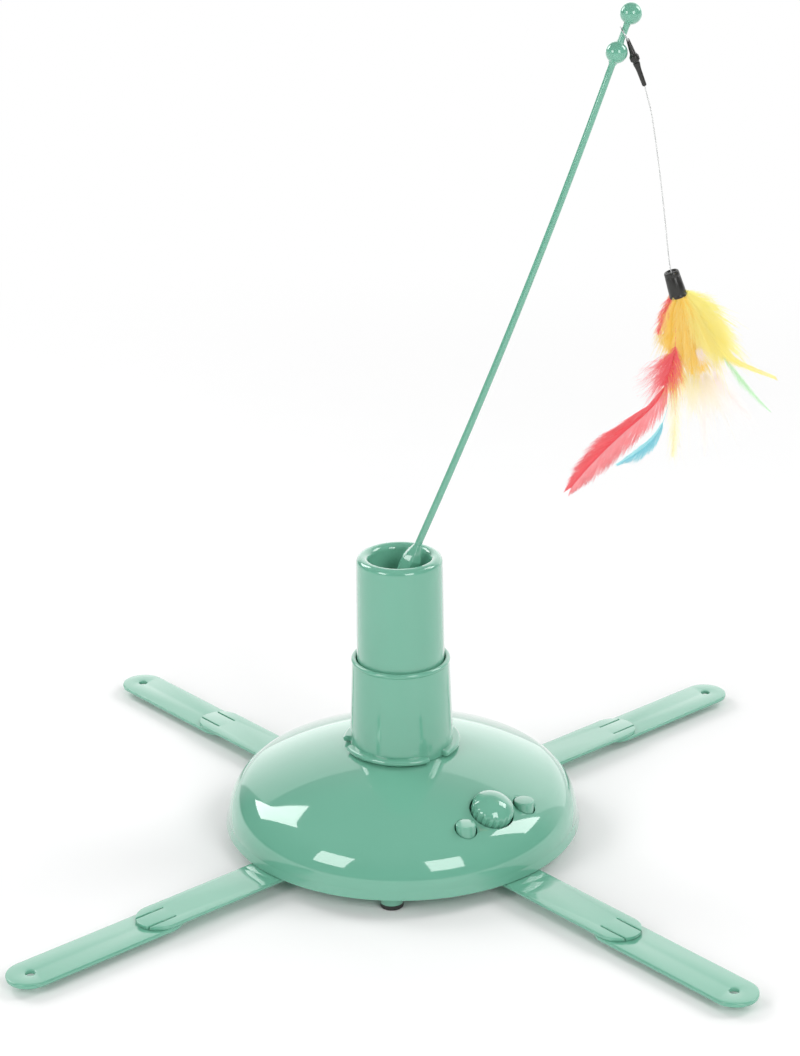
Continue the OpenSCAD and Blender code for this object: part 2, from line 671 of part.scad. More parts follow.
module tower_upper() {
    color(jade) difference() {
        union() {
            translate([0, 0, ledge_z]) cylinder(r1 = up_r1, r2 = up_r2, h = roll_z - ledge_z);
            translate([0, 0, roll_z]) rotate_extrude() translate([roll_c, 0]) circle(r = roll_r);
        }
        translate([0, 0, ledge_z - 1]) difference() {
            cylinder(r = up_r2 - tube_wall, h = roll_z - ledge_z - 2);
            translate([0, 0, web_z - ledge_z + 1]) cylinder(r = chamber_r + tube_wall, h = 80);
        }
        translate([0, 0, web_z + web_t]) cylinder(r = chamber_r, h = 80);
        translate([0, 0, rotor_z2]) cylinder(r1 = chamber_r, r2 = throat_r, h = roll_z - rotor_z2);
        translate([0, 0, roll_z - 0.01]) cylinder(r = throat_r, h = 20);
        translate([0, 0, web_z - 1]) cylinder(r = 5 + seat, h = 20);
    }
}
module wand_socket() {
    color(jade) difference() {
        union() {
            translate([0, 0, rotor_z1]) cylinder(r = rotor_r, h = rotor_z2 - 1 - rotor_z1);
            translate([0, 0, web_z + web_t + 0.3]) cylinder(r = 4.6, h = 1);
        }
        translate([0, 0, rotor_z2 - 3]) cylinder(r1 = 9, r2 = rotor_r - 0.8, h = 2.1);
        cylinder(r = shaft_r + seat, h = shaft_top + 0.1);
        lean() along([rod_x, rod_z], [sin(lean_1), cos(lean_1)]) {
            translate([0, 0, -plug_l - 0.1]) cylinder(r = plug_r + 0.08, h = plug_l + 4, $fn = 6);
            translate([0, 0, -plug_l - spigot_l - 0.1]) cylinder(r = 3 + seat, h = 20);
        }
    }
}

// Wand and lure
module wand() {
    color(jade) lean() {
        along([rod_x, rod_z], [sin(lean_1), cos(lean_1)]) {
            translate([0, 0, -8]) cylinder(r1 = plug_r, r2 = rod_r + 0.25, h = 8.1, $fn = 6);
            translate([0, 0, -plug_l]) cylinder(r = plug_r, h = plug_l - 8 + 0.01, $fn = 6);
            translate([0, 0, -plug_l - spigot_l]) cylinder(r = 3, h = spigot_l + 0.5);
        }
        translate([rod_c[0], 0, rod_c[1]]) upright() rotate([0, 0, -lean_1])
            rotate_extrude(angle = lean_1 - lean_2)
            translate([rod_R, 0]) circle(r = rod_r);
        translate([ball_1[0], 0, ball_1[1]]) sphere(r = ball_r);
        translate([ball_2[0], 0, ball_2[1]]) sphere(r = ball_r);
        along(ball_1, tip_dir) cylinder(r = neck_r, h = ball_gap);
    }
}
module wire_loop() {
    color(steel) lean() translate([loop_mid[0], 0, loop_mid[1]]) rotate([0, -loop_tilt, 0])
        rotate_extrude() translate([loop_r, 0]) circle(r = wire_r);
}
module swivel_barrel() {
    color(black) lean() difference() {
        along(eye, hang) {
            translate([0, 0, -nose_l]) cylinder(r1 = 0.75, r2 = 1.4, h = nose_l + 6.4);
            translate([0, 0, 6.4]) cylinder(r1 = 1.4, r2 = collar_r, h = 1.2);
            translate([0, 0, 7.6]) cylinder(r = collar_r, h = 2.5);
            translate([0, 0, 10.1]) cylinder(r1 = collar_r - 0.3, r2 = 1.6, h = 0.7);
        }
        translate([eye[0], -5, eye[1]]) upright() translate([0, 0, -10]) cylinder(r = wire_r + 0.15, h = 20);
        along(eye, hang) translate([0, 0, 6.4]) cylinder(r = 0.9 + run, h = 6);
    }
}
module swivel_sleeve() {
    color(black) lean() difference() {
        along(eye, hang) {
            translate([0, 0, 6.8]) cylinder(r = 0.9, h = 5);
            translate([0, 0, sleeve_1]) cylinder(r1 = 1.75, r2 = 1.25, h = 3);
            translate([0, 0, sleeve_1 + 3]) cylinder(r1 = 1.25, r2 = 1.05, h = sleeve_2 - sleeve_1 - 3);
        }
        along(eye, hang) translate([0, 0, sleeve_2 - 4.2]) cylinder(r = line_r + 0.1, h = 6);
    }
}
module ferrule() {
    color(black) lean() along(fer_top, fer_dir) difference() {
        cylinder(r1 = 3.6, r2 = 4.3, h = ferrule_l);
        translate([0, 0, 4]) cylinder(r = 3.5, h = 20);
        translate([0, 0, -1]) cylinder(r = line_r + 0.1, h = 3.2);
        translate([0, 0, -0.1]) cylinder(r1 = 2.8, r2 = 2.2, h = 0.9);
    }
}

// Line tube swept along the path
function hang_pt(i, t) =
    let (n = len(line_pts) - 1, p0 = line_pts[max(i - 1, 0)], p1 = line_pts[i], p2 = line_pts[i + 1],
         p3 = line_pts[min(i + 2, n)])
    0.5 * (2 * p1 + (p2 - p0) * t + (2 * p0 - 5 * p1 + 4 * p2 - p3) * t * t + (3 * p1 - p0 - 3 * p2
        + p3) * t * t * t);
line_path = concat([for (i = [0 : len(line_pts) - 2], k = [0 : 4]) hang_pt(i, k / 5)],
    [line_pts[len(line_pts) - 1]]);
line_n = len(line_path);
function line_dir(i) = let (v = line_path[min(i + 1, line_n - 1)] - line_path[max(i - 1, 0)]) v / norm(v);
function line_ring(i) = let (d = line_dir(i))
    [for (k = [0 : 7]) let (a = k * 45) [line_path[i][0] + line_r * cos(a) * d[1], line_r * sin(a),
                                         line_path[i][1] - line_r * cos(a) * d[0]]];
module lure_line() {
    color("#8b8f92") lean() polyhedron(
        points = [for (i = [0 : line_n - 1]) each line_ring(i)],
        faces = concat([[for (k = [0 : 7]) k]], [[for (k = [7 : -1 : 0]) (line_n - 1) * 8 + k]],
            [for (i = [0 : line_n - 2], k = [0 : 7])
                each [[i * 8 + k, (i + 1) * 8 + k, i * 8 + (k + 1) % 8],
                      [i * 8 + (k + 1) % 8, (i + 1) * 8 + k, (i + 1) * 8 + (k + 1) % 8]]]),
                      convexity = 4);
}

// Feathers: outlines in the wand's plane from the ferrule's mouth, each turned a little out of that plane
function spread(p, a) = [p[0] / cos(a), p[1] - 0.382 * p[0] * tan(a)];
module feather(outline, depth, a) {
    lean() translate([fer_end[0], 0, fer_end[1]]) rotate([0, 0, a])
        translate([0, -depth + feather_t / 2, 0]) upright()
        linear_extrude(feather_t) polygon([for (p = outline) spread(p, a)]);
}
module feather_red() {
    color("#b3263a") feather([
        [-2.2, 6], [-1.4, 6], [-0.6, -6], [-1.5, -22], [-4, -40], [-9, -56], [-19, -68], [-30, -76],
        [-41, -86], [-51, -95], [-47, -84], [-40, -74], [-31, -62], [-20, -52], [-12, -42],
        [-8, -30], [-6, -18], [-3, -8], [-1.4, -0.5]], 2.1, 20);
}
module feather_yellow() {
    color("#f0c52e") feather([
        [-1.6, 6.4], [-0.8, 6.4], [0.6, -2], [8, -8], [17, -12], [28, -20], [38, -28], [50, -41],
        [36, -36], [24, -32], [15, -30], [9, -38], [3, -34], [-2, -24], [-3, -12], [-1.6, -2]], 0, 0);
}
module feather_blue() {
    color("#3f9db3") feather([
        [-1.2, 6.6], [-0.4, 6.6], [1, -4], [1.2, -24], [0, -44], [-2, -57], [-10, -67], [-19, -74],
        [-26, -79.5], [-22, -70], [-14, -60], [-6, -50], [-2, -38], [-0.6, -20], [-0.4, -4]], -1.05, -16);
}
module feather_green() {
    color("#9fcf7d") feather([
        [-0.6, 6.8], [0.4, 6.8], [2.5, -3], [12, -16], [24, -28], [36, -42], [47, -56], [38, -52],
        [25, -38], [13, -25], [3, -10], [0.6, -2]], 1.05, -18);
}
module feather_pale() {
    color("#efe0dc") feather([
        [-1, 6.4], [0, 6.4], [2, -4], [12, -24], [24, -42], [37, -58], [26, -53], [17, -46],
        [18, -62], [16, -76.5], [9, -62], [5, -60], [1.5, -79], [0.4, -60], [0.4, -40], [0.4, -20],
        [-0.2, -4]], -2.5, 14);
}

// Legs, one pair for each direction
module leg_inner(a) {
    color(jade) rotate([0, 0, a]) difference() {
        union() {
            translate([leg_start, -leg_w / 2, inner_z]) cube([pivot_r - leg_start, leg_w, inner_t]);
            translate([pivot_r, 0, inner_z]) cylinder(r = leg_w / 2, h = inner_t);
            for (y = [-peg_y, peg_y]) translate([peg_r, y, inner_z])
                cylinder(r = peg_hole_r, h = inner_t + plate_t + 0.8);
            translate([pivot_r, 0, outer_z - 0.2]) cylinder(r = boss_r, h = outer_t + 0.5);
            translate([pivot_r, 0, outer_z - 0.8])
                cylinder(r1 = boss_r - 0.2, r2 = boss_r + 0.4, h = 0.6);
        }
        for (s = [-1, 1]) translate([pivot_r - 6, s * slit_y - slit_w / 2, inner_z - 0.02])
            cube([30, slit_w, inner_t + 1]);
        translate([pivot_r, 0, outer_z - 2]) cylinder(r = 1.4, h = outer_t + 2.5);
    }
}
module leg_outer(a) {
    color(jade) rotate([0, 0, a]) difference() {
        union() {
            translate([pivot_r, -leg_w / 2, outer_z]) cube([tip_hole_r - pivot_r, leg_w, outer_t]);
            translate([pivot_r, 0, outer_z]) cylinder(r = leg_w / 2, h = outer_t);
            translate([tip_hole_r, 0, outer_z]) cylinder(r = leg_w / 2, h = outer_t);
        }
        translate([pivot_r, 0, outer_z - 1]) cylinder(r = boss_r + run, h = 10);
        translate([tip_hole_r, 0, outer_z - 1]) cylinder(r = tip_bore, h = 10);
    }
}
module leg_inner_1() { leg_inner(0); }
module leg_inner_2() { leg_inner(90); }
module leg_inner_3() { leg_inner(180); }
module leg_inner_4() { leg_inner(270); }
module leg_outer_1() { leg_outer(0); }
module leg_outer_2() { leg_outer(90); }
module leg_outer_3() { leg_outer(180); }
module leg_outer_4() { leg_outer(270); }

// Wiring inside the housing
lead_z = shelf_z + 1.9 + motor_l + 1.4;
module motor_leads() {
    color("#a8322c") for (s = [-1, 1])
        wire([[c_m[0] + s * 5.5, c_m[1] + 0.95, lead_z], [c_m[0] + s * 5.5, c_m[1] + 2.6, lead_z],
              [c_m[0] + 4 + s * 3, c_m[1] + 7, lead_z],
              [c_m[0] + 8 + s * 1.6, c_m[1] + 10, lead_z - 0.3],
              [c_m[0] + 11 + s * 1.6, c_m[1] + 9, lead_z - 9],
              [board_mid - 11 + s * 1.6, c_m[1] + 7, board_top + 3],
              [board_mid - 11 + s * 1.6, c_m[1] + 6.9, board_top + 0.1]], 0.6);
}
module battery_leads() {
    color("#2b2b2d") for (s = [-1, 1])
        wire([[box_x2 - 0.3, s * 12, box_top - 4], [box_x2 + 3.4, s * 12, box_top - 4],
              [box_x2 + 5.6, s * 14, box_top - 1],
              [-9, s * 20, 34], [0, s * 23, 35.5], [28, s * 24, 35], [board_mid - 14, s * 20, 30],
              [board_mid - 12, s * 16.6, board_top + 3],
              [board_mid - 12, s * 16.4, board_top + 0.1]], 0.6);
}

dome_shell();
base_plate();
battery_door();
battery_cells();
battery_contacts();
door_screw();
foot_pads();
base_screws();
circuit_board();
board_screws();
tact_switches();
speed_pot();
pot_shaft();
speed_knob();
timer_button();
power_button();
gearbox_base();
gearbox_cover();
gearbox_screws();
motor_can();
motor_screws();
motor_shaft();
motor_pinion();
first_gear();
second_gear();
axle_pins();
output_gear();
drive_shaft();
shaft_bushings();
tower_lower();
tower_upper();
wand_socket();
wand();
wire_loop();
swivel_barrel();
swivel_sleeve();
lure_line();
ferrule();
feather_red();
feather_yellow();
feather_blue();
feather_green();
feather_pale();
leg_inner_1();
leg_inner_2();
leg_inner_3();
leg_inner_4();
leg_outer_1();
leg_outer_2();
leg_outer_3();
leg_outer_4();
motor_leads();
battery_leads();
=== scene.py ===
"""Motorized cat teaser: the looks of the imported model, in metres and in its own frame."""
import math
import random

import bmesh
import bpy
from mathutils import Matrix, Vector


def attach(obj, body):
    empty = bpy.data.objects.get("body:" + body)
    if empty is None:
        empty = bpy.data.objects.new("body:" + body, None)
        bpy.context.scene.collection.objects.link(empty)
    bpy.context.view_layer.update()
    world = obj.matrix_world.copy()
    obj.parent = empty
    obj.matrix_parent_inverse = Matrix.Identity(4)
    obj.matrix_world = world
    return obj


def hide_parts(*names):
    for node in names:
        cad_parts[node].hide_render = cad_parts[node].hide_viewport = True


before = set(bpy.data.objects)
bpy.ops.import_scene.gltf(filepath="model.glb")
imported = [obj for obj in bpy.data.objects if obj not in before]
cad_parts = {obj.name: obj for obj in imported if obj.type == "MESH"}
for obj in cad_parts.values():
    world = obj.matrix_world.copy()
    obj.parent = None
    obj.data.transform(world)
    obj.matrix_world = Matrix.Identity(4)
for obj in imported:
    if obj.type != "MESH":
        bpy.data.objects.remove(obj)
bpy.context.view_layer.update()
scene = bpy.context.scene
scene.view_settings.view_transform = "Standard"
MM = 0.001


# Shader values
class Value:
    """A socket of a finish, with the arithmetic that its patterns use."""

    def __init__(self, finish, socket):
        self.finish = finish
        self.socket = socket

    def math(self, operation, other):
        return self.finish.node("ShaderNodeMath", {"operation": operation}, {0: self, 1: other})

    def __add__(self, other):
        return self.math("ADD", other)

    def __sub__(self, other):
        return self.math("SUBTRACT", other)

    def __mul__(self, other):
        return self.math("MULTIPLY", other)

    def __gt__(self, other):
        return self.math("GREATER_THAN", other)


class Finish:
    """A node tree, for a material or for the world, and the ways to add to it."""

    def __init__(self, owner):
        owner.use_nodes = True
        self.owner = owner
        self.tree = owner.node_tree
        self.tree.nodes.clear()

    def node(self, kind, settings=None, sockets=None, out=0):
        made = self.tree.nodes.new(kind)
        for name, value in (settings or {}).items():
            setattr(made, name, value)
        for name, value in (sockets or {}).items():
            if isinstance(value, Value):
                self.tree.links.new(value.socket, made.inputs[name])
            else:
                made.inputs[name].default_value = value
        return Value(self, made.outputs[out]) if made.outputs else made

    def place(self, size):
        """Object coordinates, with one unit for each size in millimetres."""
        where = self.node("ShaderNodeTexCoord", out=3)
        return self.node("ShaderNodeMapping", None, {"Vector": where, "Scale": (1 / (size * MM),) * 3})

    def noise(self, size, detail=2.0, rough=0.5):
        """Noise from 0 to 1 with lumps of about size millimetres."""
        return self.node("ShaderNodeTexNoise", None,
                         {"Vector": self.place(size), "Scale": 1.0, "Detail": detail, "Roughness": rough})

    def ease(self, value, start, end, low=0.0, high=1.0):
        """A smooth step from low to high, while the value goes from start to end."""
        return self.node("ShaderNodeMapRange", {"interpolation_type": "SMOOTHSTEP"},
                         {"Value": value, "From Min": start, "From Max": end, "To Min": low, "To Max": high})

    def mix(self, factor, one, two):
        return self.node("ShaderNodeMix", {"data_type": "RGBA"},
                         {"Factor": factor, "A": one, "B": two}, out=2)

    def bump(self, height, depth):
        """A normal from a height, where a height of 1 stands depth millimetres proud."""
        return self.node("ShaderNodeBump", None, {"Height": height, "Distance": depth * MM, "Strength": 1.0})

    def surface(self, **sockets):
        """The finished surface: its sockets are those of the principled shader."""
        named = {name.replace("_", " "): value for name, value in sockets.items()}
        shader = self.node("ShaderNodeBsdfPrincipled", None, named)
        self.node("ShaderNodeOutputMaterial", None, {"Surface": shader})
        return self.owner


def new_finish(name):
    return Finish(bpy.data.materials.new(name))


def tint(red, green, blue):
    return (red, green, blue, 1.0)


# Finishes
def jade_plastic():
    """Glossy moulded plastic: a slight flow in the colour, soft smudges and a faint mould texture."""
    made = new_finish("jade_plastic")
    flow = made.noise(38, 3.0)
    smudge = made.noise(16, 4.0, 0.6)
    grain = made.noise(1.1, 2.0)
    ripple = made.noise(22, 1.0)
    colour = made.mix(flow, tint(0.150, 0.424, 0.302), tint(0.172, 0.456, 0.332))
    height = grain * 0.12 + ripple * 6.0
    return made.surface(Base_Color=colour, Roughness=smudge * 0.05 + 0.04, Normal=made.bump(height, 0.003),
                        Coat_Weight=smudge * 0.2 + 0.85, Coat_Roughness=0.025, Coat_IOR=1.5, IOR=1.45)


def black_plastic():
    made = new_finish("black_plastic")
    flow = made.noise(4, 3.0)
    grain = made.noise(0.35, 2.0)
    colour = made.mix(flow, tint(0.014, 0.014, 0.013), tint(0.030, 0.030, 0.027))
    return made.surface(Base_Color=colour, Roughness=flow * 0.16 + 0.24,
                        Normal=made.bump(grain, 0.012), IOR=1.5)


def rubber():
    made = new_finish("rubber")
    dust = made.noise(3, 4.0, 0.7)
    grain = made.noise(0.4, 2.0)
    colour = made.mix(dust, tint(0.016, 0.016, 0.017), tint(0.045, 0.044, 0.042))
    return made.surface(Base_Color=colour, Roughness=dust * 0.2 + 0.6, Normal=made.bump(grain, 0.03))


def steel():
    made = new_finish("steel")
    drawn = made.noise(1.6, 3.0, 0.6)
    fine = made.noise(0.3, 2.0)
    colour = made.mix(drawn, tint(0.50, 0.51, 0.52), tint(0.66, 0.66, 0.66))
    return made.surface(Base_Color=colour, Metallic=1.0, Roughness=drawn * 0.14 + 0.2,
                        Normal=made.bump(fine, 0.006))


def brass():
    made = new_finish("brass")
    drawn = made.noise(2.2, 3.0, 0.6)
    colour = made.mix(drawn, tint(0.58, 0.39, 0.13), tint(0.74, 0.54, 0.22))
    return made.surface(Base_Color=colour, Metallic=1.0, Roughness=drawn * 0.16 + 0.22,
                        Normal=made.bump(made.noise(0.4), 0.006))


def white_plastic():
    made = new_finish("white_plastic")
    flow = made.noise(9, 3.0)
    colour = made.mix(flow, tint(0.74, 0.72, 0.65), tint(0.84, 0.82, 0.76))
    return made.surface(Base_Color=colour, Roughness=flow * 0.14 + 0.34,
                        Normal=made.bump(made.noise(0.6), 0.01))


def cell_jacket():
    """Printed film round a cell: a dark band with a plain lighter end band."""
    made = new_finish("cell_jacket")
    along = made.node("ShaderNodeSeparateXYZ", None, {"Vector": made.place(1.0)}, out=1)
    wear = made.noise(2.5, 3.0)
    band = made.mix(along > 10.0, tint(0.030, 0.055, 0.085), tint(0.44, 0.42, 0.36))
    colour = made.mix(wear * 0.25, band, tint(0.20, 0.22, 0.24))
    return made.surface(Base_Color=colour, Roughness=wear * 0.15 + 0.28, Normal=made.bump(wear, 0.01))


def board_green():
    """Coated circuit board, with the paler lines of the tracks under the coat."""
    made = new_finish("board_green")
    weave = made.node("ShaderNodeTexWave", {"wave_type": "BANDS", "bands_direction": "DIAGONAL"},
                      {"Vector": made.place(4.0), "Scale": 1.0, "Distortion": 2.5, "Detail": 0.0})
    track = made.node("ShaderNodeSeparateColor", None, {"Color": weave}) > 0.62
    colour = made.mix(track, tint(0.012, 0.085, 0.035), tint(0.030, 0.150, 0.062))
    return made.surface(Base_Color=colour, Roughness=made.noise(3) * 0.15 + 0.25,
                        Normal=made.bump(track, 0.03))


def wire_cover(name, dark, light):
    made = new_finish(name)
    flow = made.noise(3, 3.0)
    return made.surface(Base_Color=made.mix(flow, dark, light), Roughness=flow * 0.15 + 0.35,
                        Normal=made.bump(made.noise(0.4), 0.01))


def clear_line():
    """Pale grey nylon line."""
    made = new_finish("line_grey")
    flow = made.noise(2.0, 2.0)
    return made.surface(Base_Color=made.mix(flow, tint(0.56, 0.57, 0.57), tint(0.74, 0.74, 0.73)),
                        Roughness=flow * 0.1 + 0.22, Normal=made.bump(flow, 0.01))


def barb_dye_and_glow(name, first, second, tips, clear):
    """Dyed barbs: each strand has its own tone between two dyes and pales to its tip. Some light goes
    through, and a faint glow stands for the light that is scattered many times between the barbs."""
    made = new_finish(name)
    tone = made.node("ShaderNodeAttribute", {"attribute_name": "tone"}, out=2)
    along = made.node("ShaderNodeAttribute", {"attribute_name": "along"}, out=2)
    speck = made.noise(0.8, 2.0)
    dyed = made.mix(tone, first, second)
    colour = made.mix(along * 0.45 + speck * 0.2 - 0.1, dyed, tips)
    # Painted glow: the emission in the barbs' own colour stands in for light scattered between the barbs.
    face = made.node("ShaderNodeBsdfPrincipled", None,
                     {"Base Color": colour, "Roughness": speck * 0.2 + 0.55, "Normal": made.bump(speck, 0.02),
                      "Specular IOR Level": 0.25, "Emission Color": colour, "Emission Strength": 0.16})
    through = made.node("ShaderNodeBsdfTranslucent", None, {"Color": colour})
    blend = made.node("ShaderNodeMixShader", None, {"Fac": clear, 1: face, 2: through})
    made.node("ShaderNodeOutputMaterial", None, {"Surface": blend})
    return made.owner


JADE = jade_plastic()
BLACK = black_plastic()
RUBBER = rubber()
STEEL = steel()
BRASS = brass()
WHITE = white_plastic()
LINE = clear_line()


# Camera at the photograph's view
def photo_camera():
    yaw = math.radians(49.241)
    lift = math.radians(21.064)
    roll = math.radians(-0.771)
    aim = Vector((0, 0, 0.1))
    distance = 1.295366
    side_shift = -0.000314
    up_shift = 0.061313
    back = Vector((math.sin(yaw) * math.cos(lift), -math.cos(yaw) * math.cos(lift), math.sin(lift)))
    right = Vector((math.cos(yaw), math.sin(yaw), 0.0))
    up = back.cross(right)
    level = right * math.cos(roll) + up * math.sin(roll)
    rise = up * math.cos(roll) - right * math.sin(roll)
    data = bpy.data.cameras.new("camera")
    data.sensor_fit = "VERTICAL"
    data.sensor_height = 36.0
    data.lens = 88.274
    camera = bpy.data.objects.new("camera", data)
    turned = Matrix((level, rise, back)).transposed().to_4x4()
    turned.translation = aim + back * distance + level * side_shift + rise * up_shift
    camera.matrix_world = turned
    scene.collection.objects.link(camera)
    scene.camera = camera


photo_camera()


# Places of the wand and the lure, in the upright plane that they lean in
LEAN_AZ = math.radians(49.2)
LEAN_FOOT = math.radians(23.4)
LEAN_TIP = math.radians(19.0)
ROD_FOOT = (9.2, 156.8)
ROD_LENGTH = 259.0
ROD_R = 1.75
ROD_TAPER = 0.1
ROD_ARC = ROD_LENGTH / (LEAN_FOOT - LEAN_TIP)
ROD_CENTRE = (ROD_FOOT[0] - ROD_ARC * math.cos(LEAN_FOOT), ROD_FOOT[1] + ROD_ARC * math.sin(LEAN_FOOT))
BALL_LOW = (ROD_CENTRE[0] + ROD_ARC * math.cos(LEAN_TIP), ROD_CENTRE[1] - ROD_ARC * math.sin(LEAN_TIP))
BALL_GAP = 18.8
BALL_R = 5.15
TIP_LEAN = LEAN_TIP + math.radians(0.5)
NECK = (BALL_LOW[0] + BALL_GAP / 2 * math.sin(TIP_LEAN), BALL_LOW[1] + BALL_GAP / 2 * math.cos(TIP_LEAN))
LOOP_R = 3.65
WIRE_R = 0.3
LOOP_DROP = 0.35
LOOP_TILT = -LEAN_TIP - math.radians(41)
LOOP_MID = (NECK[0] + LOOP_DROP * math.cos(LOOP_TILT), NECK[1] + LOOP_DROP * math.sin(LOOP_TILT))
EYE = (LOOP_MID[0] + LOOP_R * math.cos(LOOP_TILT), LOOP_MID[1] + LOOP_R * math.sin(LOOP_TILT))
SWIVEL_LEAN = math.radians(21)
SLEEVE_LOW = 22.5
FERRULE_TOP = (130.4, 294.1)
FERRULE_LEAN = math.radians(17.5)
FERRULE_LENGTH = 13.0
FERRULE_END = (FERRULE_TOP[0] + FERRULE_LENGTH * math.sin(FERRULE_LEAN),
               FERRULE_TOP[1] - FERRULE_LENGTH * math.cos(FERRULE_LEAN))


def leaned(x, z, y=0.0):
    """A point of the leaning plane, in millimetres of the frame; y is how far it stands off the plane."""
    cosine = math.cos(LEAN_AZ)
    sine = math.sin(LEAN_AZ)
    return Vector((x * cosine - y * sine, x * sine + y * cosine, z))


def down_from(point, lean, distance):
    return (point[0] + distance * math.sin(lean), point[1] - distance * math.cos(lean))


def smooth_path(points, steps):
    """Points on a smooth curve through the given ones."""
    ends = [points[0] * 2 - points[1]] + list(points) + [points[-1] * 2 - points[-2]]
    path = []
    for before, one, two, after in zip(ends, ends[1:], ends[2:], ends[3:]):
        for step in range(steps):
            t = step / steps
            path.append((one * 2 + (two - before) * t + (before * 2 - one * 5 + two * 4 - after) * t ** 2
                         + (one * 3 - before - two * 3 + after) * t ** 3) / 2)
    return path + [points[-1]]


# Mesh helpers
def arc(x, z, radius, start, end, steps):
    """Points of an arc in a profile, from the start angle to the end angle in degrees."""
    angles = [math.radians(start + (end - start) * i / steps) for i in range(steps + 1)]
    return [(x + radius * math.cos(a), z + radius * math.sin(a)) for a in angles]


def lathe(profile, steps=96, closed=True):
    """Spins a profile of radius and height round the z axis; an open profile starts and ends on the axis."""
    shape = bmesh.new()
    points = [shape.verts.new((r, 0, z)) for r, z in profile]
    after = points[1:] + points[:1] if closed else points[1:]
    edges = [shape.edges.new(pair) for pair in zip(points, after)]
    bmesh.ops.spin(shape, geom=points + edges, cent=(0, 0, 0), axis=(0, 0, 1), angle=math.tau, steps=steps,
                   use_merge=True)
    clean(shape)
    return shape


def clean(shape):
    bmesh.ops.remove_doubles(shape, verts=shape.verts, dist=0.0004)
    bmesh.ops.dissolve_degenerate(shape, edges=shape.edges, dist=0.0004)
    bmesh.ops.recalc_face_normals(shape, faces=shape.faces)


def placed(shape, matrix):
    bmesh.ops.transform(shape, matrix=matrix, verts=shape.verts)
    return shape


def set_out(degrees, reach, z=0.0):
    """A place at a reach from the z axis, turned about it."""
    return Matrix.Rotation(math.radians(degrees), 4, "Z") @ Matrix.Translation((reach, 0, z))


def box(x, y, z):
    shape = bmesh.new()
    bmesh.ops.create_cube(shape, size=1.0)
    bmesh.ops.scale(shape, vec=(x, y, z), verts=shape.verts)
    return shape


def rounded(shape, edges, radius, segments=3):
    bmesh.ops.bevel(shape, geom=edges, offset=radius, affect="EDGES", segments=segments, profile=0.5,
                    material=-1, clamp_overlap=True)


def to_mesh(shape, name):
    """A mesh from a bmesh, which is freed."""
    mesh = bpy.data.meshes.new(name)
    shape.to_mesh(mesh)
    shape.free()
    return mesh


def linked(name, data):
    """An object of the scene."""
    thing = bpy.data.objects.new(name, data)
    scene.collection.objects.link(thing)
    return thing


def joined(*shapes):
    """One bmesh from several."""
    whole = shapes[0]
    for other in shapes[1:]:
        mesh = to_mesh(other, "part")
        whole.from_mesh(mesh)
        bpy.data.meshes.remove(mesh)
    return whole


def carve(shape, *cutters):
    """The shape with each cutter's room taken out of it."""
    block = linked("block", to_mesh(shape, "block"))
    tools = [linked("cutter", to_mesh(cutter, "cutter")) for cutter in cutters]
    for tool in tools:
        cut = block.modifiers.new("cut", "BOOLEAN")
        cut.operation = "DIFFERENCE"
        cut.solver = "EXACT"
        cut.object = tool
    view = bpy.context.evaluated_depsgraph_get()
    result = bmesh.new()
    result.from_object(block, view)
    for thing in [block] + tools:
        mesh = thing.data
        bpy.data.objects.remove(thing)
        bpy.data.meshes.remove(mesh)
    return result


def plate(outline, holes, low, high, edge):
    """A flat plate from an outline and round holes, with its upper and lower edges rounded."""
    shape = bmesh.new()
    for loop in [outline] + holes:
        points = [shape.verts.new((x, y, low)) for x, y in loop]
        for pair in zip(points, points[1:] + points[:1]):
            shape.edges.new(pair)
    bmesh.ops.triangle_fill(shape, use_beauty=True, use_dissolve=False, edges=shape.edges)
    grown = bmesh.ops.extrude_face_region(shape, geom=shape.faces[:], use_keep_orig=True)
    risen = [item for item in grown["geom"] if isinstance(item, bmesh.types.BMVert)]
    bmesh.ops.translate(shape, verts=risen, vec=(0, 0, high - low))
    bmesh.ops.recalc_face_normals(shape, faces=shape.faces)
    rims = [e for e in shape.edges if len(e.link_faces) == 2 and e.calc_face_angle() > 1.2
            and abs(e.verts[0].co.z - e.verts[1].co.z) < 0.01]
    rounded(shape, rims, edge)
    return shape


def ring(x, y, radius, steps):
    turns = [math.tau * i / steps for i in range(steps)]
    return [(x + radius * math.cos(a), y + radius * math.sin(a)) for a in turns]


def shown(thing, body, finish, node):
    """Gives a finished object its material and the body it moves with, and hides the node it stands for."""
    thing.data.materials.clear()
    thing.data.materials.append(finish)
    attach(thing, body)
    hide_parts(node)
    return thing


def piece(shape, name, body, finish, node):
    """A finished piece from a bmesh in millimetres: smooth, but creased where faces meet sharply."""
    crease = math.radians(38)
    clean(shape)
    bmesh.ops.scale(shape, vec=(MM, MM, MM), verts=shape.verts)
    for face in shape.faces:
        face.smooth = True
    for edge in shape.edges:
        edge.smooth = edge.calc_face_angle(0.0) < crease
    return shown(linked(name, to_mesh(shape, name)), body, finish, node)


def tube_curve(name, radius, fineness):
    """A curve whose strands are tubes with closed ends, of a radius in millimetres."""
    data = bpy.data.curves.new(name, "CURVE")
    data.dimensions = "3D"
    data.bevel_depth = radius * MM
    data.bevel_resolution = fineness
    data.use_fill_caps = True
    return data


def add_strand(data, path, radii):
    """Adds a strand along points in metres; its radii are shares of the curve's own."""
    spline = data.splines.new("POLY")
    spline.points.add(len(path) - 1)
    for point, spot, radius in zip(spline.points, path, radii):
        point.co = (*spot, 1.0)
        point.radius = radius


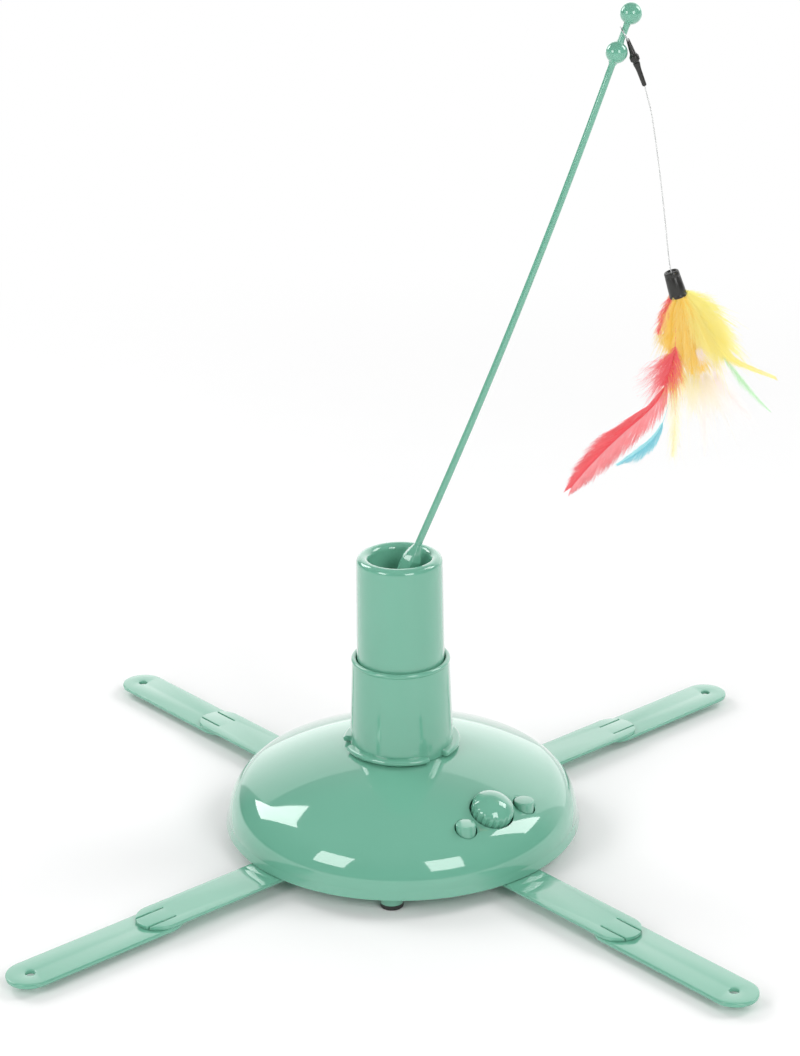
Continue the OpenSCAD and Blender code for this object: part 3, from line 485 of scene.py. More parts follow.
# The line, as a cord from the swivel's sleeve to the ferrule
def lure_line():
    sleeve_end = down_from(EYE, SWIVEL_LEAN, SLEEVE_LOW)
    inner = [down_from(EYE, SWIVEL_LEAN, SLEEVE_LOW - 4), down_from(EYE, SWIVEL_LEAN, SLEEVE_LOW - 1)]
    hang = [(sleeve_end[0] + 1.35, sleeve_end[1] - 5), (119.8, 368), (123.5, 345), (126.6, 322), (128.9, 303)]
    last = [(FERRULE_TOP[0] - 0.35, FERRULE_TOP[1] + 1.6), down_from(FERRULE_TOP, FERRULE_LEAN, 2)]
    path = [point * MM for point in smooth_path([leaned(x, z) for x, z in inner + hang + last], 4)]
    data = tube_curve("lure_line_strand", 0.3, 3)
    add_strand(data, path, [1.0] * len(path))
    thing = linked("lure_line_strand", data)
    shown(thing, "lure", LINE, "lure_line")
    return thing, path


LURE_LINE, LINE_PATH = lure_line()


# Dome
RIM_R = 90.4
RIM_Z = 8.3
WALL = 2.4
DRAFT = 1.4
EDGE_R = 24.0
EDGE_Z = 12.1
CAP_TOP = 51.3
EDGE_X = RIM_R - DRAFT - EDGE_R
EDGE_RISE = CAP_TOP - EDGE_Z
CAP_R = (EDGE_X ** 2 + EDGE_RISE ** 2 - EDGE_R ** 2) / (2 * (EDGE_RISE - EDGE_R))
CAP_Z = CAP_TOP - CAP_R
TUBE_FOOT_R = 26.2
SEAT_Z = CAP_Z + math.sqrt(CAP_R ** 2 - TUBE_FOOT_R ** 2)
PLATE_Z = 8.1
KNOB_AT = 68.6
KNOB_TILT = math.asin(KNOB_AT / CAP_R)
KNOB_Z = CAP_Z + math.sqrt(CAP_R ** 2 - KNOB_AT ** 2)
CONTROL_AZ = math.radians(-1.25)
KNOB_PLACE = (Matrix.Rotation(CONTROL_AZ, 4, "Z") @ Matrix.Translation((KNOB_AT, 0, KNOB_Z))
              @ Matrix.Rotation(KNOB_TILT, 4, "Y"))
BUTTON_AT = 73.5
BUTTON_R = 4.9
BUTTON_GAP = 0.55
BUTTON_TOP = 37.8
CORNERS = (45, 135, 225, 315)


def button_spot(side):
    turn = CONTROL_AZ + side * math.radians(15)
    return BUTTON_AT * math.cos(turn), BUTTON_AT * math.sin(turn)


def dome_profile(inset):
    """The dome's section from the top of the skirt to the cap's pole, moved in by the inset."""
    edge = math.degrees(math.atan2(EDGE_Z - CAP_Z, EDGE_X))
    return arc(EDGE_X, EDGE_Z, EDGE_R - inset, 0, edge, 40) + arc(0, CAP_Z, CAP_R - inset, edge, 90, 40)[1:]


def hole_cutter(radius, round_r, slope):
    """A round cutter whose mouth flares, so the hole it leaves has a rounded edge on a sloping surface."""
    flare = arc(radius + round_r, -round_r, round_r, 180, 115, 5)
    run_out = (flare[-1][0] + 2.0, flare[-1][1] + 0.93)
    shape = lathe([(0, -14), (radius, -14)] + flare + [run_out, (run_out[0], 6), (0, 6)], 64, closed=False)
    shear = Matrix.Identity(4)
    shear[2][0] = -slope
    return placed(shape, shear)


def dome():
    outer = [point for point in dome_profile(0.0) if point[0] > 26.3]
    inner = [point for point in dome_profile(WALL) if point[0] > 19.8]
    rim = arc(RIM_R - 0.5, RIM_Z + 0.5, 0.5, -90, 0, 4)
    inner_rim = [(RIM_R - WALL, RIM_Z + 0.3), (RIM_R - WALL + 0.3, RIM_Z)]
    seat = [(26.19, SEAT_Z), (20.0, SEAT_Z), (19.6, SEAT_Z - 0.4), (19.6, 47.75)]
    shell = lathe(rim + outer + seat + inner[::-1] + inner_rim, 192)
    well = placed(hole_cutter(11.1, 0.55, 0.0), KNOB_PLACE @ Matrix.Translation((0, 0, -0.36)))
    cuts = [well]
    rise = CAP_Z + math.sqrt(CAP_R ** 2 - BUTTON_AT ** 2)
    slope = BUTTON_AT / math.sqrt(CAP_R ** 2 - BUTTON_AT ** 2)
    for side in (-1, 1):
        x, y = button_spot(side)
        place = Matrix.Translation((x, y, rise - 0.1)) @ Matrix.Rotation(math.atan2(y, x), 4, "Z")
        cuts.append(placed(hole_cutter(BUTTON_R + BUTTON_GAP, 0.45, slope), place))
    for turn in (0, 120, 240):
        cuts.append(placed(box(11.8, 10.8, 12), set_out(turn, 17.7, 48)))
    low = PLATE_Z + 4.2
    bosses = []
    for turn in CORNERS:
        boss = lathe([(0, low), (3.3, low), (3.6, low + 0.3), (3.6, 35.2), (0, 35.2)], 32, closed=False)
        bosses.append(placed(boss, set_out(turn, 68.0)))
    return joined(carve(shell, *cuts), *bosses)


piece(dome(), "dome_moulding", "base", JADE, "dome_shell")


# Controls
def knob():
    """Domed cap with twenty flutes that run out where the dome begins."""
    flutes = 20
    side_r = 10.5
    top_z = 8.9
    dome_r = 13.2
    dome_z = top_z - dome_r
    start = math.degrees(math.acos(side_r / dome_r))
    wall = [(3.05, 3.3), (3.05, -2.2), (3.4, -2.5), (10.1, -2.5), (side_r, -2.1)]
    side = [(side_r, -2.1 + 5.2 * i / 7) for i in range(1, 8)]
    top = arc(0, dome_z, dome_r, start + 2.5, 90, 20)
    shape = lathe([(0, 3.3)] + wall + side + top, flutes * 12, closed=False)
    for point in shape.verts:
        radius = math.hypot(point.co.x, point.co.y)
        if radius > 9.0:
            wave = max(0.0, math.cos(flutes * math.atan2(point.co.y, point.co.x)))
            run_out = min(1.0, max(0.0, (5.0 - point.co.z) / 1.6))
            scale = 1.0 - 0.62 * wave ** 0.8 * run_out / radius
            point.co.x *= scale
            point.co.y *= scale
    return placed(shape, KNOB_PLACE)


def button(side):
    """Round button with a soft edge, a slightly crowned top and a keeping flange under the dome."""
    low = 26.9
    crown_r = 30.0
    edge_r = 0.62
    x, y = button_spot(side)
    crown = arc(0, BUTTON_TOP - crown_r, crown_r, 81.8, 90, 6)
    edge_z = crown[0][1]
    edge = arc(BUTTON_R - edge_r, edge_z - edge_r, edge_r, 0, 82, 6)
    shape = lathe([(0, low), (5.3, low), (5.6, low + 0.3), (5.6, low + 1.1), (5.4, low + 1.3),
                   (BUTTON_R, low + 1.4)] + edge + crown, 64, closed=False)
    return placed(shape, Matrix.Translation((x, y, 0)))


piece(knob(), "speed_knob_cap", "knob", JADE, "speed_knob")
piece(button(-1), "timer_button_cap", "timer", JADE, "timer_button")
piece(button(1), "power_button_cap", "power", JADE, "power_button")


# Tower
def tower_lower():
    """Lower tube: a beaded lip, the neck and lugs that lock into the dome, a flange in three parts."""
    bead = arc(23.55, 96.1, 1.3, -48, 150, 20)
    outer = [(19.0, SEAT_Z), (25.9, SEAT_Z), (TUBE_FOOT_R, SEAT_Z + 0.3), (24.52, 94.6), (24.46, 95.0)]
    inner = [(22.35, 96.4), (22.35, 95.0), (22.6, 94.6), (22.6, 70.0), (20.8, 70.0), (20.8, 51.67),
             (17.0, 51.67), (17.0, 43.4), (18.7, 43.4), (19.0, 43.7)]
    tube = lathe(outer + bead + inner, 144)
    parts = [flange_part(middle) for middle in (58.3, 178.3, 298.3)]
    for turn in (60, 180, 300):
        lug = box(4.6, 10.0, 2.4)
        rounded(lug, lug.edges[:], 0.3, 2)
        parts.append(placed(lug, set_out(turn, 20.5, 44.9)))
    return joined(tube, *parts)


def flange_part(middle):
    """One part of the flange: a round-nosed rail swept through a span in degrees, with softened ends."""
    span = 98
    shape = bmesh.new()
    low = SEAT_Z + 0.4
    nose = arc(28.2, low + 1.5, 1.5, -90, 90, 12)
    points = [shape.verts.new((r, 0, z)) for r, z in [(24.2, low)] + nose + [(24.2, low + 3.0)]]
    edges = [shape.edges.new(pair) for pair in zip(points, points[1:] + points[:1])]
    face = shape.faces.new(points)
    bmesh.ops.spin(shape, geom=[face] + edges + points, cent=(0, 0, 0), axis=(0, 0, 1),
                   angle=math.radians(span), steps=48)
    bmesh.ops.recalc_face_normals(shape, faces=shape.faces)
    ends = [e for e in shape.edges if len(e.link_faces) == 2 and e.calc_face_angle() > 1.0
            and any(len(f.verts) > 4 for f in e.link_faces)]
    rounded(shape, ends, 0.45)
    return placed(shape, Matrix.Rotation(math.radians(middle - span / 2), 4, "Z"))


def tower_upper():
    """Upper tube with its rolled mouth, the throat, the wand's chamber and the web under it."""
    roll = arc(18.3, 148.1, 3.1, 0, 180, 24)
    outer = [(22.0, 70.0), (22.3, 70.3), (21.5, 145.6), (21.43, 147.2)]
    throat = [(15.1, 147.0), (13.9, 139.2), (13.9, 112.0), (5.05, 112.0), (5.05, 108.0), (15.9, 108.0)]
    skirt = [(15.9, 145.1), (19.5, 145.1), (19.5, 70.3), (19.8, 70.0)]
    return lathe(outer + roll + throat + skirt, 144)


piece(tower_lower(), "tower_lower_moulding", "base", JADE, "tower_lower")
piece(tower_upper(), "tower_upper_moulding", "base", JADE, "tower_upper")


# Legs
LEG_W = 23.0
PIVOT = 154.0
TIP_HOLE = 227.4


def inner_leg():
    """Inner leg: square under the dome, rounded at the pivot, with two slits that free a tongue."""
    half = LEG_W / 2
    slit = 5.3
    wide = 0.4
    wings = [math.degrees(math.asin(edge / half)) for edge in (slit + wide, slit - wide)]
    slit_low = [(PIVOT - 5.7, -slit - wide), (PIVOT - 6.0, -slit), (PIVOT - 5.7, -slit + wide)]
    slit_high = [(x, -y) for x, y in slit_low[::-1]]
    outline = ([(66.4, -half), (PIVOT, -half)] + arc(PIVOT, 0, half, -90, -wings[0], 16)[1:] + slit_low
               + arc(PIVOT, 0, half, -wings[1], wings[1], 16) + slit_high
               + arc(PIVOT, 0, half, wings[0], 90, 16)[:-1]
               + [(PIVOT, half), (66.4, half), (66.0, half - 0.4), (66.0, 0.4 - half)])
    low = PLATE_Z - 1.8
    shape = plate(outline, [], low, PLATE_Z, 0.55)
    boss = lathe([(0, low + 0.2), (1.4, low + 0.2), (1.4, low - 2.8), (2.4, low - 3.05), (2.8, low - 3.05),
                  (3.35, low - 2.6), (3.0, low - 2.3), (3.0, low + 0.4), (0, low + 0.4)], 40, closed=False)
    pegs = []
    for side in (-7.0, 7.0):
        stem = [(0, low + 0.4), (2.0, low + 0.4), (2.0, low + 4.3), (1.6, low + 4.7), (0, low + 4.7)]
        peg = lathe(stem, 24, closed=False)
        pegs.append(placed(peg, Matrix.Translation((72.0, side, 0))))
    return joined(shape, placed(boss, Matrix.Translation((PIVOT, 0, 0))), *pegs)


def outer_leg():
    """Outer leg: a long round-ended strip, with the pivot's hole and a hole near the tip."""
    half = LEG_W / 2
    outline = ([(PIVOT, -half), (TIP_HOLE, -half)] + arc(TIP_HOLE, 0, half, -90, 90, 36)[1:]
               + [(PIVOT, half)] + arc(PIVOT, 0, half, 90, 270, 36)[1:-1])
    holes = [ring(TIP_HOLE, 0, 2.3, 32), ring(PIVOT, 0, 3.05, 32)]
    return plate(outline, holes, PLATE_Z - 4.05, PLATE_Z - 1.85, 0.6)


for number in range(1, 5):
    facing = Matrix.Rotation(math.radians(90 * (number - 1)), 4, "Z")
    piece(placed(inner_leg(), facing), f"inner_leg_{number}", "base", JADE,
          f"leg_inner_{number}")
    piece(placed(outer_leg(), facing), f"outer_leg_{number}", f"leg_{number}", JADE,
          f"leg_outer_{number}")


# Wand
def in_plane(point, lean):
    """The place of a shape made along z that rises along the lean from a point of the leaning plane."""
    axis = Matrix.Rotation(LEAN_AZ, 4, "Z")
    return axis @ Matrix.Translation((point[0], 0, point[1])) @ Matrix.Rotation(lean, 4, "Y")


def rod():
    """The curved rod: a ring swept along its arc, a little slimmer towards the tip."""
    rows = 60
    shape = bmesh.new()
    made = bmesh.ops.create_circle(shape, cap_ends=False, segments=24, radius=ROD_R)
    bmesh.ops.rotate(shape, verts=made["verts"], cent=(0, 0, 0), matrix=Matrix.Rotation(LEAN_FOOT, 3, "Y"))
    bmesh.ops.translate(shape, verts=made["verts"], vec=(ROD_FOOT[0], 0, ROD_FOOT[1]))
    centre = Vector((ROD_CENTRE[0], 0, ROD_CENTRE[1]))
    bmesh.ops.spin(shape, geom=shape.verts[:] + shape.edges[:], cent=centre, axis=(0, 1, 0),
                   angle=LEAN_TIP - LEAN_FOOT, steps=rows)
    for point in shape.verts:
        offset = point.co - centre
        lean = math.atan2(-offset.z, offset.x)
        along = (LEAN_FOOT - lean) / (LEAN_FOOT - LEAN_TIP)
        middle = centre + Vector((math.cos(lean), 0, -math.sin(lean))) * ROD_ARC
        point.co = middle + (point.co - middle) * (1.0 - ROD_TAPER * along)
    return placed(shape, Matrix.Rotation(LEAN_AZ, 4, "Z"))


def rod_tip():
    """The two balls and the neck between them, turned as one, with small fillets."""
    def ball(middle, start, end):
        return arc(0, middle, BALL_R, start, end, 24)
    profile = ([(0, -12.0), (1.56, -12.0), (1.56, -6.7), (1.75, -5.7), (2.1, -5.05)] + ball(0, -64, 70)
               + [(1.62, 5.6), (1.5, 6.4), (1.5, 12.4), (1.62, 13.2)] + ball(BALL_GAP, -70, 90))
    return placed(lathe(profile, 48, closed=False), in_plane(BALL_LOW, TIP_LEAN))


def plug():
    """The six-sided foot that seats in the turning socket, narrowing to the rod."""
    shape = bmesh.new()
    bmesh.ops.create_cone(shape, cap_ends=True, segments=6, radius1=5.4, radius2=5.4, depth=18.0)
    bmesh.ops.translate(shape, verts=shape.verts, vec=(0, 0, -17.0))
    top = max(shape.faces, key=lambda face: face.calc_center_median().z)
    grown = bmesh.ops.extrude_discrete_faces(shape, faces=[top])["faces"][0]
    bmesh.ops.translate(shape, verts=grown.verts, vec=(0, 0, 8.1))
    bmesh.ops.scale(shape, vec=(0.37, 0.37, 1.0), verts=grown.verts)
    rounded(shape, shape.edges[:], 0.35)
    spigot = lathe([(0, -33.0), (2.7, -33.0), (3.0, -32.7), (3.0, -25.0), (0, -25.0)], 32, closed=False)
    return placed(joined(shape, spigot), in_plane(ROD_FOOT, LEAN_FOOT))


piece(joined(rod(), rod_tip(), plug()), "wand_rod", "rotor", JADE, "wand")


# Lure hardware
def wire_ring():
    shape = bmesh.new()
    made = bmesh.ops.create_circle(shape, cap_ends=False, segments=14, radius=WIRE_R)
    bmesh.ops.rotate(shape, verts=made["verts"], cent=(0, 0, 0), matrix=Matrix.Rotation(math.pi / 2, 3, "X"))
    bmesh.ops.translate(shape, verts=made["verts"], vec=(LOOP_R, 0, 0))
    bmesh.ops.spin(shape, geom=shape.verts[:] + shape.edges[:], cent=(0, 0, 0), axis=(0, 0, 1),
                   angle=math.tau, steps=72, use_merge=True)
    return placed(shape, in_plane(LOOP_MID, -LOOP_TILT))


def hanging(shape, point, lean):
    """Places a shape made along z so that it hangs down from a point of the leaning plane."""
    return placed(shape, in_plane(point, math.pi - lean))


def swivel_top():
    """Upper half of the swivel: a slim cone with the wire's eye, then a rounded collar."""
    collar = arc(1.85, 7.9, 0.4, -60, 0, 4)
    collar_end = arc(1.85, 9.7, 0.4, 0, 80, 4)
    nose = [(0, -0.8), (0.5, -0.8), (0.72, -0.6), (0.82, 0.0), (1.34, 5.6), (1.46, 6.5)]
    cup = [(1.7, 10.3), (1.6, 10.75), (1.0, 10.8), (0.97, 6.6), (0, 6.6)]
    profile = nose + collar + collar_end + cup
    eye = lathe([(0, -6), (WIRE_R + 0.15, -6), (WIRE_R + 0.15, 6), (0, 6)], 24, closed=False)
    shape = carve(lathe(profile, 40, closed=False), placed(eye, Matrix.Rotation(math.pi / 2, 4, "X")))
    return hanging(shape, EYE, SWIVEL_LEAN)


def swivel_sleeve():
    """Lower half: a turning pin and a long sleeve that grips the line."""
    pin = [(0, 6.9), (0.85, 6.9), (0.9, 7.0), (0.9, 11.0)]
    grip = [(1.55, 11.0), (1.7, 11.15), (1.62, 11.9), (1.32, 13.6), (1.24, 14.6), (1.2, 15.6), (1.1, 19.4),
            (1.06, 21.9), (0.95, 22.35), (0.8, SLEEVE_LOW), (0.45, SLEEVE_LOW), (0.4, 18.3), (0, 18.3)]
    return hanging(lathe(pin + grip, 40, closed=False), EYE, SWIVEL_LEAN)


def ferrule():
    """Flared black cap: a dished top with the line's hole, a pressed groove, and a crimped mouth."""
    top = [(0.4, 2.3), (0.4, 0.9), (1.0, 0.75), (2.3, 0.75), (2.75, 0.1), (3.1, 0.0), (3.5, 0.25)]
    groove = [(3.66, 0.8), (3.72, 2.3), (3.60, 2.6), (3.74, 2.9)]
    mouth = [(4.20, 11.3), (4.12, 11.6), (4.30, 12.0), (4.33, 12.7), (4.15, FERRULE_LENGTH),
             (3.7, FERRULE_LENGTH), (3.5, 12.6)]
    inside = [(3.5, 4.0), (1.0, 4.0)]
    return hanging(lathe(top + groove + mouth + inside, 56), FERRULE_TOP, FERRULE_LEAN)


piece(wire_ring(), "wire_hanger_loop", "hanger", STEEL, "wire_loop")
piece(swivel_top(), "swivel_top", "hanger", BLACK, "swivel_barrel")
piece(swivel_sleeve(), "swivel_line_sleeve", "lure", BLACK, "swivel_sleeve")
FERRULE = piece(ferrule(), "ferrule_cap", "lure", BLACK, "ferrule")


# Feathers
class Plumage:
    """Strands of one node: each is a path in millimetres from the ferrule's mouth, its radii and its tone."""

    def __init__(self, seed):
        self.chance = random.Random(seed)
        self.strands = []

    def vary(self, size):
        return self.chance.uniform(-size, size)

    def scatter(self, size):
        return Vector((self.vary(size), self.vary(size), self.vary(size)))

    def feather(self, points, facing, width, spacing, thick, sweep, tone, fray,
                bare=0.0, lift=0.0, shade=0.0):
        """A feather on a smooth shaft. The facing is the side that it shows, the width gives half its
        breadth at each share of the shaft, the sweep is the barbs' angle to the shaft, the fray their
        unevenness, bare the share of the shaft without barbs, the lift how far the barbs rise from the
        feather's plane, and the shade how far its two webs differ in tone."""
        spine = smooth_path([Vector(point) for point in points], 10)
        count = len(spine) - 1
        quill = [thick * 1.8 * (1.0 - 0.8 * i / count) for i in range(count + 1)]
        self.strands.append((spine, quill, tone))
        length = sum((b - a).length for a, b in zip(spine, spine[1:]))
        rows = int(length * (1 - bare) / spacing)
        for row in range(rows):
            share = bare + (1 - bare) * (row + self.chance.random()) / rows
            spot = share * count
            index = min(int(spot), count - 1)
            root = spine[index].lerp(spine[index + 1], spot - index)
            ahead = (spine[index + 1] - spine[index]).normalized()
            across = ahead.cross(facing).normalized()
            for side in (-1, 1):
                angle = math.radians(sweep + self.vary(fray * 50))
                breadth = width((share - bare) / (1 - bare)) * (1 + self.vary(fray))
                away = (across * side + facing * (lift + self.vary(fray * 1.2))).normalized()
                heading = ahead * math.cos(angle) + away * math.sin(angle)
                self.barb(root, heading, ahead, breadth / math.sin(angle), thick, tone + shade * side
                          + self.vary(0.12), fray)

    def barb(self, root, heading, ahead, reach, thick, tone, fray):
        bend = ahead * 0.1 + Vector((0, 0, -0.08)) + self.scatter(0.03 + fray * 0.18)
        path = []
        for step in range(5):
            t = step / 4
            path.append(root + (heading * t + bend * t ** 2) * reach)
        self.strands.append((path, [thick, thick * 0.95, thick * 0.8, thick * 0.6, thick * 0.25], tone))

    def fluff(self, root, heading, reach, spread, count, thick, tone):
        """A tuft of fine wavy down, fanning from a root."""
        for _ in range(count):
            way = (Vector(heading) + self.scatter(spread)).normalized()
            size = reach * self.chance.uniform(0.4, 1.0)
            wave = self.scatter(0.16)
            turns = self.chance.uniform(3.0, 7.0)
            start = Vector(root) + self.scatter(1.6)
            path = []
            for step in range(7):
                t = step / 6
                sag = Vector((0, 0, -0.14)) * t ** 2
                path.append(start + (way * t + wave * math.sin(turns * t) * t + sag) * size)
            radii = [thick * (1.0 - 0.7 * i / 6) for i in range(7)]
            self.strands.append((path, radii, tone + self.vary(0.15)))

    def grow(self, name, node, finish):
        """Makes the strands one mesh, at the ferrule's mouth, with the tone and the run of each strand.
        A curve's mesh has the strands' end caps first, the last strand's before the others, and then
        the rings in order."""
        data = tube_curve(name, 1.0, 0)
        around = 4
        cap_tones = []
        cap_runs = []
        tones = []
        runs = []
        for path, radii, tone in self.strands:
            spots = [leaned(FERRULE_END[0] + spot.x, FERRULE_END[1] + spot.z, spot.y) * MM for spot in path]
            add_strand(data, spots, radii)
            cap_tones = [tone] * 2 * around + cap_tones
            cap_runs = [1.0] * around + [0.0] * around + cap_runs
            for i in range(len(path)):
                tones += [tone] * around
                runs += [i / (len(path) - 1)] * around
        drawn = linked(name, data)
        view = bpy.context.evaluated_depsgraph_get()
        mesh = bpy.data.meshes.new_from_object(drawn.evaluated_get(view))
        bpy.data.objects.remove(drawn)
        bpy.data.curves.remove(data)
        mesh.name = name
        for label, values in (("tone", cap_tones + tones), ("along", cap_runs + runs)):
            kept = mesh.attributes.new(label, "FLOAT", "POINT")
            kept.data.foreach_set("value", values)
        shape = bmesh.new()
        shape.from_mesh(mesh)
        bmesh.ops.remove_doubles(shape, verts=shape.verts, dist=1e-7)
        shape.to_mesh(mesh)
        shape.free()
        mesh.polygons.foreach_set("use_smooth", [True] * len(mesh.polygons))
        return shown(linked(name, mesh), "lure", finish, node)


FRONT = Vector((0, -1, 0))
RIGHT_FRONT = Vector((0.3, -0.95, 0)).normalized()
LEFT_FRONT = Vector((-0.6, -0.8, 0))
REAR = Vector((0, 1, 0))


def vane(*knots):
    """A feather's half breadth along its shaft, drawn straight from knot to knot of share and breadth."""
    def width(share):
        for (one, low), (two, high) in zip(knots, knots[1:]):
            if share <= two:
                return low + (high - low) * (share - one) / (two - one)
        return knots[-1][1]
    return width


def leaf(full, start=0.12, end=0.6):
    """A plain outline that swells from the root, holds, and narrows to the tip."""
    return vane((0, full * 0.35), (start, full), (end, full), (1, full * 0.12))


RED_VANE = vane((0, 3.6), (0.14, 5.6), (0.4, 7.6), (0.58, 6.0), (0.72, 4.2), (0.86, 2.8), (1, 1.6))
BLUE_VANE = vane((0, 1.0), (0.18, 2.5), (0.4, 2.5), (0.72, 1.1), (1, 0.4))
LOBE = vane((0, 5.6), (0.12, 7.6), (0.36, 7.6), (0.48, 4.6), (0.6, 1.9), (0.78, 0.9), (1, 0.4))


def red_feathers():
    plumes = Plumage(11)
    plumes.feather([(-2, 1, 3), (-6.2, -1.5, -7), (-9.4, -2, -18)], LEFT_FRONT, leaf(3),
                   spacing=0.3, thick=0.1, sweep=35, tone=0.2, fray=0.3)
    plumes.feather([(-2.4, -1, 2), (-1.6, -6, -16), (-2.6, -8.6, -27), (-6.6, -7, -42)],
                   FRONT, leaf(6.6, 0.3, 0.5),
                   spacing=0.13, thick=0.09, sweep=36, tone=0.2, fray=0.45, bare=0.52, lift=0.1)
    plumes.feather([(-1.5, -2, -2), (-3.6, -3.6, -34), (-7.2, -3.2, -48), (-15, -2.6, -58),
                    (-25.2, -2.2, -67.5), (-36, -2, -78.5), (-44, -2.2, -87.5), (-50, -2.4, -95)],
                   Vector((0.2, -0.98, 0)), RED_VANE,
                   spacing=0.15, thick=0.13, sweep=26, tone=0.45, fray=0.09, bare=0.22, shade=-0.35)
    plumes.fluff((-4, -6, -28), (-0.8, -0.1, -0.75),
                 reach=20, spread=0.42, count=150, thick=0.055, tone=0.3)
    plumes.fluff((-6, -5, -38), (-0.7, -0.1, -0.6),
                 reach=16, spread=0.45, count=90, thick=0.045, tone=0.4)
    dye_and_glow = barb_dye_and_glow("feather_red", tint(0.91, 0.085, 0.11), tint(0.96, 0.50, 0.52), tint(0.97, 0.48, 0.50),
                   clear=0.25)
    return plumes.grow("red_plumes", "feather_red", dye_and_glow)


def yellow_feathers():
    plumes = Plumage(23)
    short = (
        ([(-0.8, -2.6, 3), (-3.2, -5.2, -13), (-3.4, -6, -27)], FRONT, 4.4, 0),
        ([(0.6, -2.8, 3), (1.2, -6, -13), (2.2, -6.6, -29)], FRONT, 4.4, 0),
        ([(1.6, -2, 3), (4.8, -5.2, -15), (7, -5, -37)], RIGHT_FRONT, 4.8, 0),
        ([(1.8, -1, 3), (7.4, -3.6, -19), (12, -3.2, -36)], RIGHT_FRONT, 4.6, 0.2),
        ([(0.2, -1.5, 3), (1.4, -4.2, -25), (-2.6, -4.8, -45)], FRONT, 4.6, 0.3),
        ([(0.6, 1.8, 3), (0.5, 5, -15), (1, 5.5, -33)], REAR, 6, 0),
        ([(-1.6, 1.4, 3), (-4, 4, -13), (-5, 4.5, -26)], REAR, 5, 0),
    )
    for points, facing, full, bare in short:
        plumes.feather(points, facing, leaf(full, 0.1, 0.6),
                       spacing=0.18, thick=0.1, sweep=33, tone=0.15, fray=0.32, bare=bare, lift=0.2)
    lobe = [(1.6, -1.2, 3), (8, -3, -6), (15, -3.6, -16.5), (21, -3.2, -26.5),
            (30, -2.2, -33.5), (48, -1, -41.5)]
    plumes.feather(lobe, RIGHT_FRONT, LOBE,
                   spacing=0.15, thick=0.09, sweep=30, tone=0.8, fray=0.28, lift=0.1)
    plumes.feather([(1.6, -0.6, 3.4), (9, -1.6, -1), (16, -1.8, -8), (21, -1.2, -19),
                    (22.5, -1, -26)], RIGHT_FRONT, leaf(4.8, 0.15, 0.55),
                   spacing=0.16, thick=0.09, sweep=32, tone=0.95, fray=0.3, lift=0.1)
    plumes.feather([(1.4, -1.8, 3), (6.5, -4.4, -9), (11.5, -5, -19), (16, -4.4, -27)],
                   RIGHT_FRONT, leaf(4.8, 0.1, 0.5),
                   spacing=0.16, thick=0.09, sweep=32, tone=0.7, fray=0.3, lift=0.15)
    plumes.feather([(x, 1.0 - y, z) for x, y, z in lobe], REAR, LOBE,
                   spacing=0.2, thick=0.09, sweep=30, tone=0.8, fray=0.3, lift=0.1)
    plumes.fluff((12, -2, -3), (0.8, -0.1, -0.6),
                 reach=10, spread=0.5, count=90, thick=0.045, tone=1)
    dye_and_glow = barb_dye_and_glow("feather_yellow", tint(0.96, 0.67, 0.09), tint(0.96, 0.92, 0.36), tint(0.98, 0.96, 0.62),
                   clear=0.2)
    return plumes.grow("yellow_plumes", "feather_yellow", dye_and_glow)


def blue_feathers():
    plumes = Plumage(31)
    plumes.feather([(-0.8, 0.4, 1), (-1, -0.5, -38), (-4.2, -1, -56), (-8, -1.2, -67),
                    (-14, -1, -74.5), (-21, -0.8, -80), (-27.5, -0.6, -84)], FRONT, BLUE_VANE,
                   spacing=0.16, thick=0.1, sweep=20, tone=0.5, fray=0.1, bare=0.42, shade=0.3)
    dye_and_glow = barb_dye_and_glow("feather_blue", tint(0.20, 0.66, 0.76), tint(0.55, 0.90, 0.93), tint(0.72, 0.95, 0.97),
                   clear=0.3)
    return plumes.grow("blue_plumes", "feather_blue", dye_and_glow)


def green_feathers():
    plumes = Plumage(37)
    plumes.feather([(1, 0.6, 1), (12, 0.8, -17), (23.6, -0.6, -32), (33.6, -0.4, -45.3),
                    (46, 0.2, -58.5)], FRONT, leaf(1.7, 0.3, 0.4),
                   spacing=0.34, thick=0.06, sweep=22, tone=0.5, fray=0.25, bare=0.4)
    dye_and_glow = barb_dye_and_glow("feather_green", tint(0.55, 0.88, 0.52), tint(0.72, 0.94, 0.70), tint(0.92, 0.98, 0.90),
                   clear=0.4)
    return plumes.grow("green_plumes", "feather_green", dye_and_glow)


